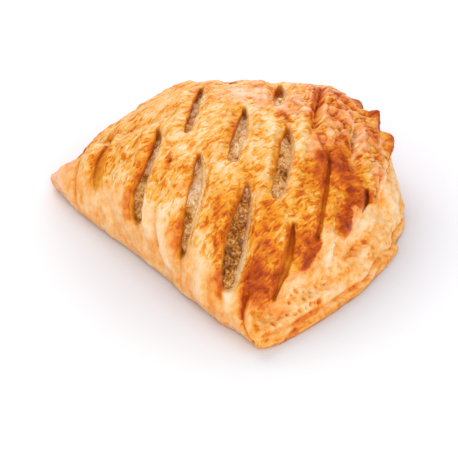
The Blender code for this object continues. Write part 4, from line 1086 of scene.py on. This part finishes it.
def pastry_material():
    """Baked puff pastry: glazed crust, cut walls and bare leaves, told apart by fields."""
    k = Nodes("puff_pastry")
    tone, wall, wallu, shade = k.field("tone"), k.field("wall"), k.field("wallu"), k.field("shade")
    bare, shine, front, grain = k.field("bare"), k.field("shine"), k.field("front"), k.field("grain")
    glazed = k.math("SUBTRACT", 1.0, bare)
    fine = k.noise(k.scaled(1000, 900, 1000), 1.0, 3.0, 0.6, 0.3)
    mottle = k.noise(k.scaled(300, 210, 260, (3, 1, 2)), 1.0, 3.0, 0.62, 0.5)
    streak = k.noise(k.scaled(700, 270, 300, (5, 2, 7)), 1.0, 3.0, 0.6, 0.7)
    # wavy thin pale lines, about 1.5 mm apart, running from the fold to the arc: paler glaze on the wrinkle ridges,
    # partly a painted highlight along them
    split = k.new("ShaderNodeSeparateXYZ")
    k.put(k.scaled(1, 1, 1), split.inputs[0])
    sway = k.noise(k.scaled(190, 100, 100, (2, 6, 4)), 1.0, 1.0, 0.5)
    sway2 = k.noise(k.scaled(520, 210, 230, (7, 3, 1)), 1.0, 1.0, 0.5)
    phase = k.math("MULTIPLY_ADD", sway, 3.4, k.math("MULTIPLY", split.outputs[0], 720.0))
    phase = k.math("MULTIPLY_ADD", sway2, 1.9, phase)
    wave = k.math("SINE", k.math("MULTIPLY", phase, 2 * math.pi))
    lines = k.math("MULTIPLY", k.math("SUBTRACT", wave, 0.05), 1.3, clamp=True)
    gaps = k.noise(k.scaled(420, 260, 290, (1, 9, 5)), 1.0, 1.0, 0.5)
    lines = k.math("MULTIPLY", lines, k.math("MULTIPLY", k.math("SUBTRACT", gaps, 0.44), 9.0, clamp=True))
    lines = k.math("MULTIPLY", lines, grain)
    crisp = k.math("MULTIPLY", k.math("SUBTRACT", streak, 0.47), 9.0, clamp=True)
    crisp = k.math("SUBTRACT", crisp, 0.62)
    calm = k.math("MULTIPLY_ADD", tone, -1.8, 2.0, clamp=True)
    v = k.math("MULTIPLY", k.math("MULTIPLY_ADD", grain, 0.26, 0.06), calm)
    v = k.math("MULTIPLY_ADD", crisp, v, tone)
    v = k.math("MULTIPLY_ADD", k.math("SUBTRACT", mottle, 0.5), k.math("MULTIPLY_ADD", bare, 0.12, 0.62), v)
    v = k.math("MULTIPLY_ADD", k.math("MULTIPLY", crisp, bare), 0.12, v)
    v = k.math("MULTIPLY_ADD", k.math("SUBTRACT", fine, 0.5), 0.16, v)
    v = k.math("MULTIPLY_ADD", k.math("MULTIPLY", lines, calm), -0.17, v)
    # painted shade: the shade field darkens the slits' walls and floors
    v = k.math("MULTIPLY_ADD", shade, 0.10, v)
    colour = k.ramp(v, BAKE_COLOURS)
    # the shine field blends in a pinkish colour: a painted sheen on the smooth and wrinkled glaze, and a real pink tint
    # on the front, along the glaze's fringe and on the bare leaves
    pink_tint_and_sheen = k.ramp(v, [(0.22, (251, 198, 152)), (0.55, (245, 154, 100)), (0.85, (216, 106, 54))])
    soft = k.math("MULTIPLY", shine, k.math("MULTIPLY_ADD", v, -2.6, 2.2, clamp=True))
    soft = k.math("MAXIMUM", soft, k.math("MULTIPLY", bare, 0.34))
    colour = k.blend(colour, pink_tint_and_sheen, k.math("MULTIPLY", soft, 0.85))
    # inner is the painted shade colour of the slit walls, an olive brown blended in by the shade field
    inner = k.ramp(k.math("ADD", v, k.math("MULTIPLY", fine, 0.3)), [(0.3, (238, 172, 66)), (0.9, (184, 108, 30))])
    colour = k.blend(colour, inner, k.math("MULTIPLY", shade, 0.75, clamp=True))
    # cut walls: unglazed, pale, with the lines of the leaves
    leaves = k.noise(k.scaled(800, 800, 1500, (1, 8, 3)), 1.0, 3.0, 0.65, 0.4)
    pale = k.math("MULTIPLY_ADD", wallu, 0.22, k.math("MULTIPLY", leaves, 1.25))
    pale = k.math("SUBTRACT", pale, 0.10)
    pale = k.ramp(pale, [(0.26, (166, 100, 36)), (0.44, (220, 160, 84)), (0.62, (244, 198, 134)), (0.80, (252, 222, 178))])
    colour = k.blend(colour, pale, wall)
    height = k.math("ADD", k.math("MULTIPLY", streak, k.math("MULTIPLY_ADD", grain, 0.6, 0.2)), k.math("MULTIPLY", fine, 0.30))
    height = k.math("MULTIPLY_ADD", lines, 0.45, height)
    height = k.math("MULTIPLY_ADD", k.math("MULTIPLY", mottle, bare), 0.8, height)
    height = k.math("ADD", height, k.math("MULTIPLY", leaves, k.math("MULTIPLY", wall, 1.2)))
    normal = k.bump(height, 0.00040, 0.9)
    rough = k.math("MULTIPLY_ADD", k.math("MAXIMUM", wall, bare), 0.28, k.math("MULTIPLY_ADD", fine, 0.16, 0.30))
    rough = k.math("MULTIPLY_ADD", shine, -0.08, rough)
    return k.finish(Base_Color=colour, Roughness=rough, Normal=normal, Coat_Weight=k.math("MULTIPLY", glazed, k.math("MULTIPLY_ADD", shine, 0.35, 0.05)),
                    Coat_Roughness=0.20, Specular_IOR_Level=0.14)


def filling_material():
    k = Nodes("stewed_apple")
    lump = k.field("lump")
    big = k.noise(k.scaled(300, 300, 300), 1.0, 3.0, 0.6, 0.5)
    small = k.noise(k.scaled(1200, 1200, 1200), 1.0, 3.0, 0.65, 0.3)
    v = k.math("MULTIPLY_ADD", k.math("SUBTRACT", small, 0.5), 1.3, big)
    v = k.math("ADD", v, lump)
    high = k.new("ShaderNodeSeparateXYZ")
    k.put(k.scaled(1, 1, 1), high.inputs[0])
    v = k.math("MULTIPLY_ADD", k.math("SUBTRACT", high.outputs[2], 0.031), 6.0, v)
    colour = k.ramp(v, [(0.16, (130, 66, 12)), (0.38, (200, 124, 34)), (0.54, (238, 180, 92)),
                        (0.70, (251, 212, 156)), (0.90, (255, 238, 216))])
    normal = k.bump(k.math("ADD", small, big), 0.0007, 0.9)
    return k.finish(Base_Color=colour, Roughness=0.30, Normal=normal, Coat_Weight=0.4, Coat_Roughness=0.12,
                    Subsurface_Weight=0.0)


# ---------------------------------------------------------------- put together
PASTRY = pastry_material()
crust = upper_crust(PASTRY)
side = layered_side(PASTRY)
apple = apple_filling(filling_material())
for obj in (crust, side, apple):
    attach(obj, "root")
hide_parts("pastry")
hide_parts("pastry")
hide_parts("apple_filling")


# ---------------------------------------------------------------- floor, light, camera
def floor():
    mesh = bpy.data.meshes.new("floor")
    r = 1.6
    mesh.from_pydata([(-r, -r, 0), (r, -r, 0), (r, r, 0), (-r, r, 0)], [], [(0, 1, 2, 3)])
    obj = bpy.data.objects.new("floor", mesh)
    obj.location.z = -0.0002
    bpy.context.scene.collection.objects.link(obj)
    k = Nodes("floor_with_painted_shadow")
    # painted shadow: the floor is darker and bluer near the turnover, out to about 13 cm from the middle, and white
    # beyond
    far = k.new("ShaderNodeVectorMath")
    far.operation = "LENGTH"
    k.put(k.scaled(1, 1, 1), far.inputs[0])
    far = k.math("MULTIPLY", k.math("SUBTRACT", far.outputs["Value"], 0.058), 14.0, clamp=True)
    far = k.ramp(far, [(0.0, (226, 228, 236)), (0.6, (247, 247, 248)), (1.0, (255, 255, 253))])
    mesh.materials.append(k.finish(Base_Color=far, Roughness=0.9))
    k.shader.inputs["Specular IOR Level"].default_value = 0.1


def light(name, place, target, size, watts, colour=(1, 1, 1)):
    data = bpy.data.lights.new(name, "AREA")
    data.shape, data.size, data.energy, data.color = "DISK", size, watts, colour
    obj = bpy.data.objects.new(name, data)
    obj.location = place
    obj.rotation_euler = (Vector(target) - Vector(place)).to_track_quat("-Z", "Y").to_euler()
    bpy.context.scene.collection.objects.link(obj)


TURN, RISE, FAR, FOCUS = 51.79, 37.0, 0.600, 1694.42
TARGET = np.array([18.03, -28.52, 15.0]) * MM
a, e = math.radians(TURN), math.radians(RISE)
BACK = np.array([math.sin(a) * math.cos(e), -math.cos(a) * math.cos(e), math.sin(e)])
ACROSS = np.array([math.cos(a), math.sin(a), 0.0])


def camera():
    data = bpy.data.cameras.new("camera")
    data.sensor_width, data.sensor_fit = 36.0, "HORIZONTAL"
    data.lens = FOCUS / 458.0 * 36.0
    data.clip_start, data.clip_end = 0.01, 20.0
    obj = bpy.data.objects.new("camera", data)
    obj.location = TARGET + BACK * FAR
    obj.rotation_euler = Vector(-BACK).to_track_quat("-Z", "Y").to_euler()
    bpy.context.scene.collection.objects.link(obj)
    bpy.context.scene.camera = obj


floor()
camera()
flat_back = np.array([BACK[0], BACK[1], 0.0]) / math.hypot(BACK[0], BACK[1])
light("key", (-0.50 * ACROSS - 0.65 * flat_back + np.array([0, 0, 0.95])), (0, 0, 0.02), 0.8, 5.2, (1.0, 0.995, 0.99))
light("back", (0.10 * ACROSS - 1.20 * flat_back + np.array([0, 0, 0.50])), (0, 0, 0.02), 1.1, 5.8, (1.0, 0.98, 0.98))
light("fill", (0.18 * ACROSS + 0.98 * flat_back + np.array([0, 0, 0.60])), (0, 0, 0.02), 0.9, 5.0)
world = bpy.data.worlds.new("studio")
world.use_nodes = True
world.node_tree.nodes["Background"].inputs["Color"].default_value = (1, 1, 1, 1)
world.node_tree.nodes["Background"].inputs["Strength"].default_value = 0.69
bpy.context.scene.world = world
world.cycles_visibility.glossy = False
bpy.context.scene.view_settings.view_transform = "Standard"
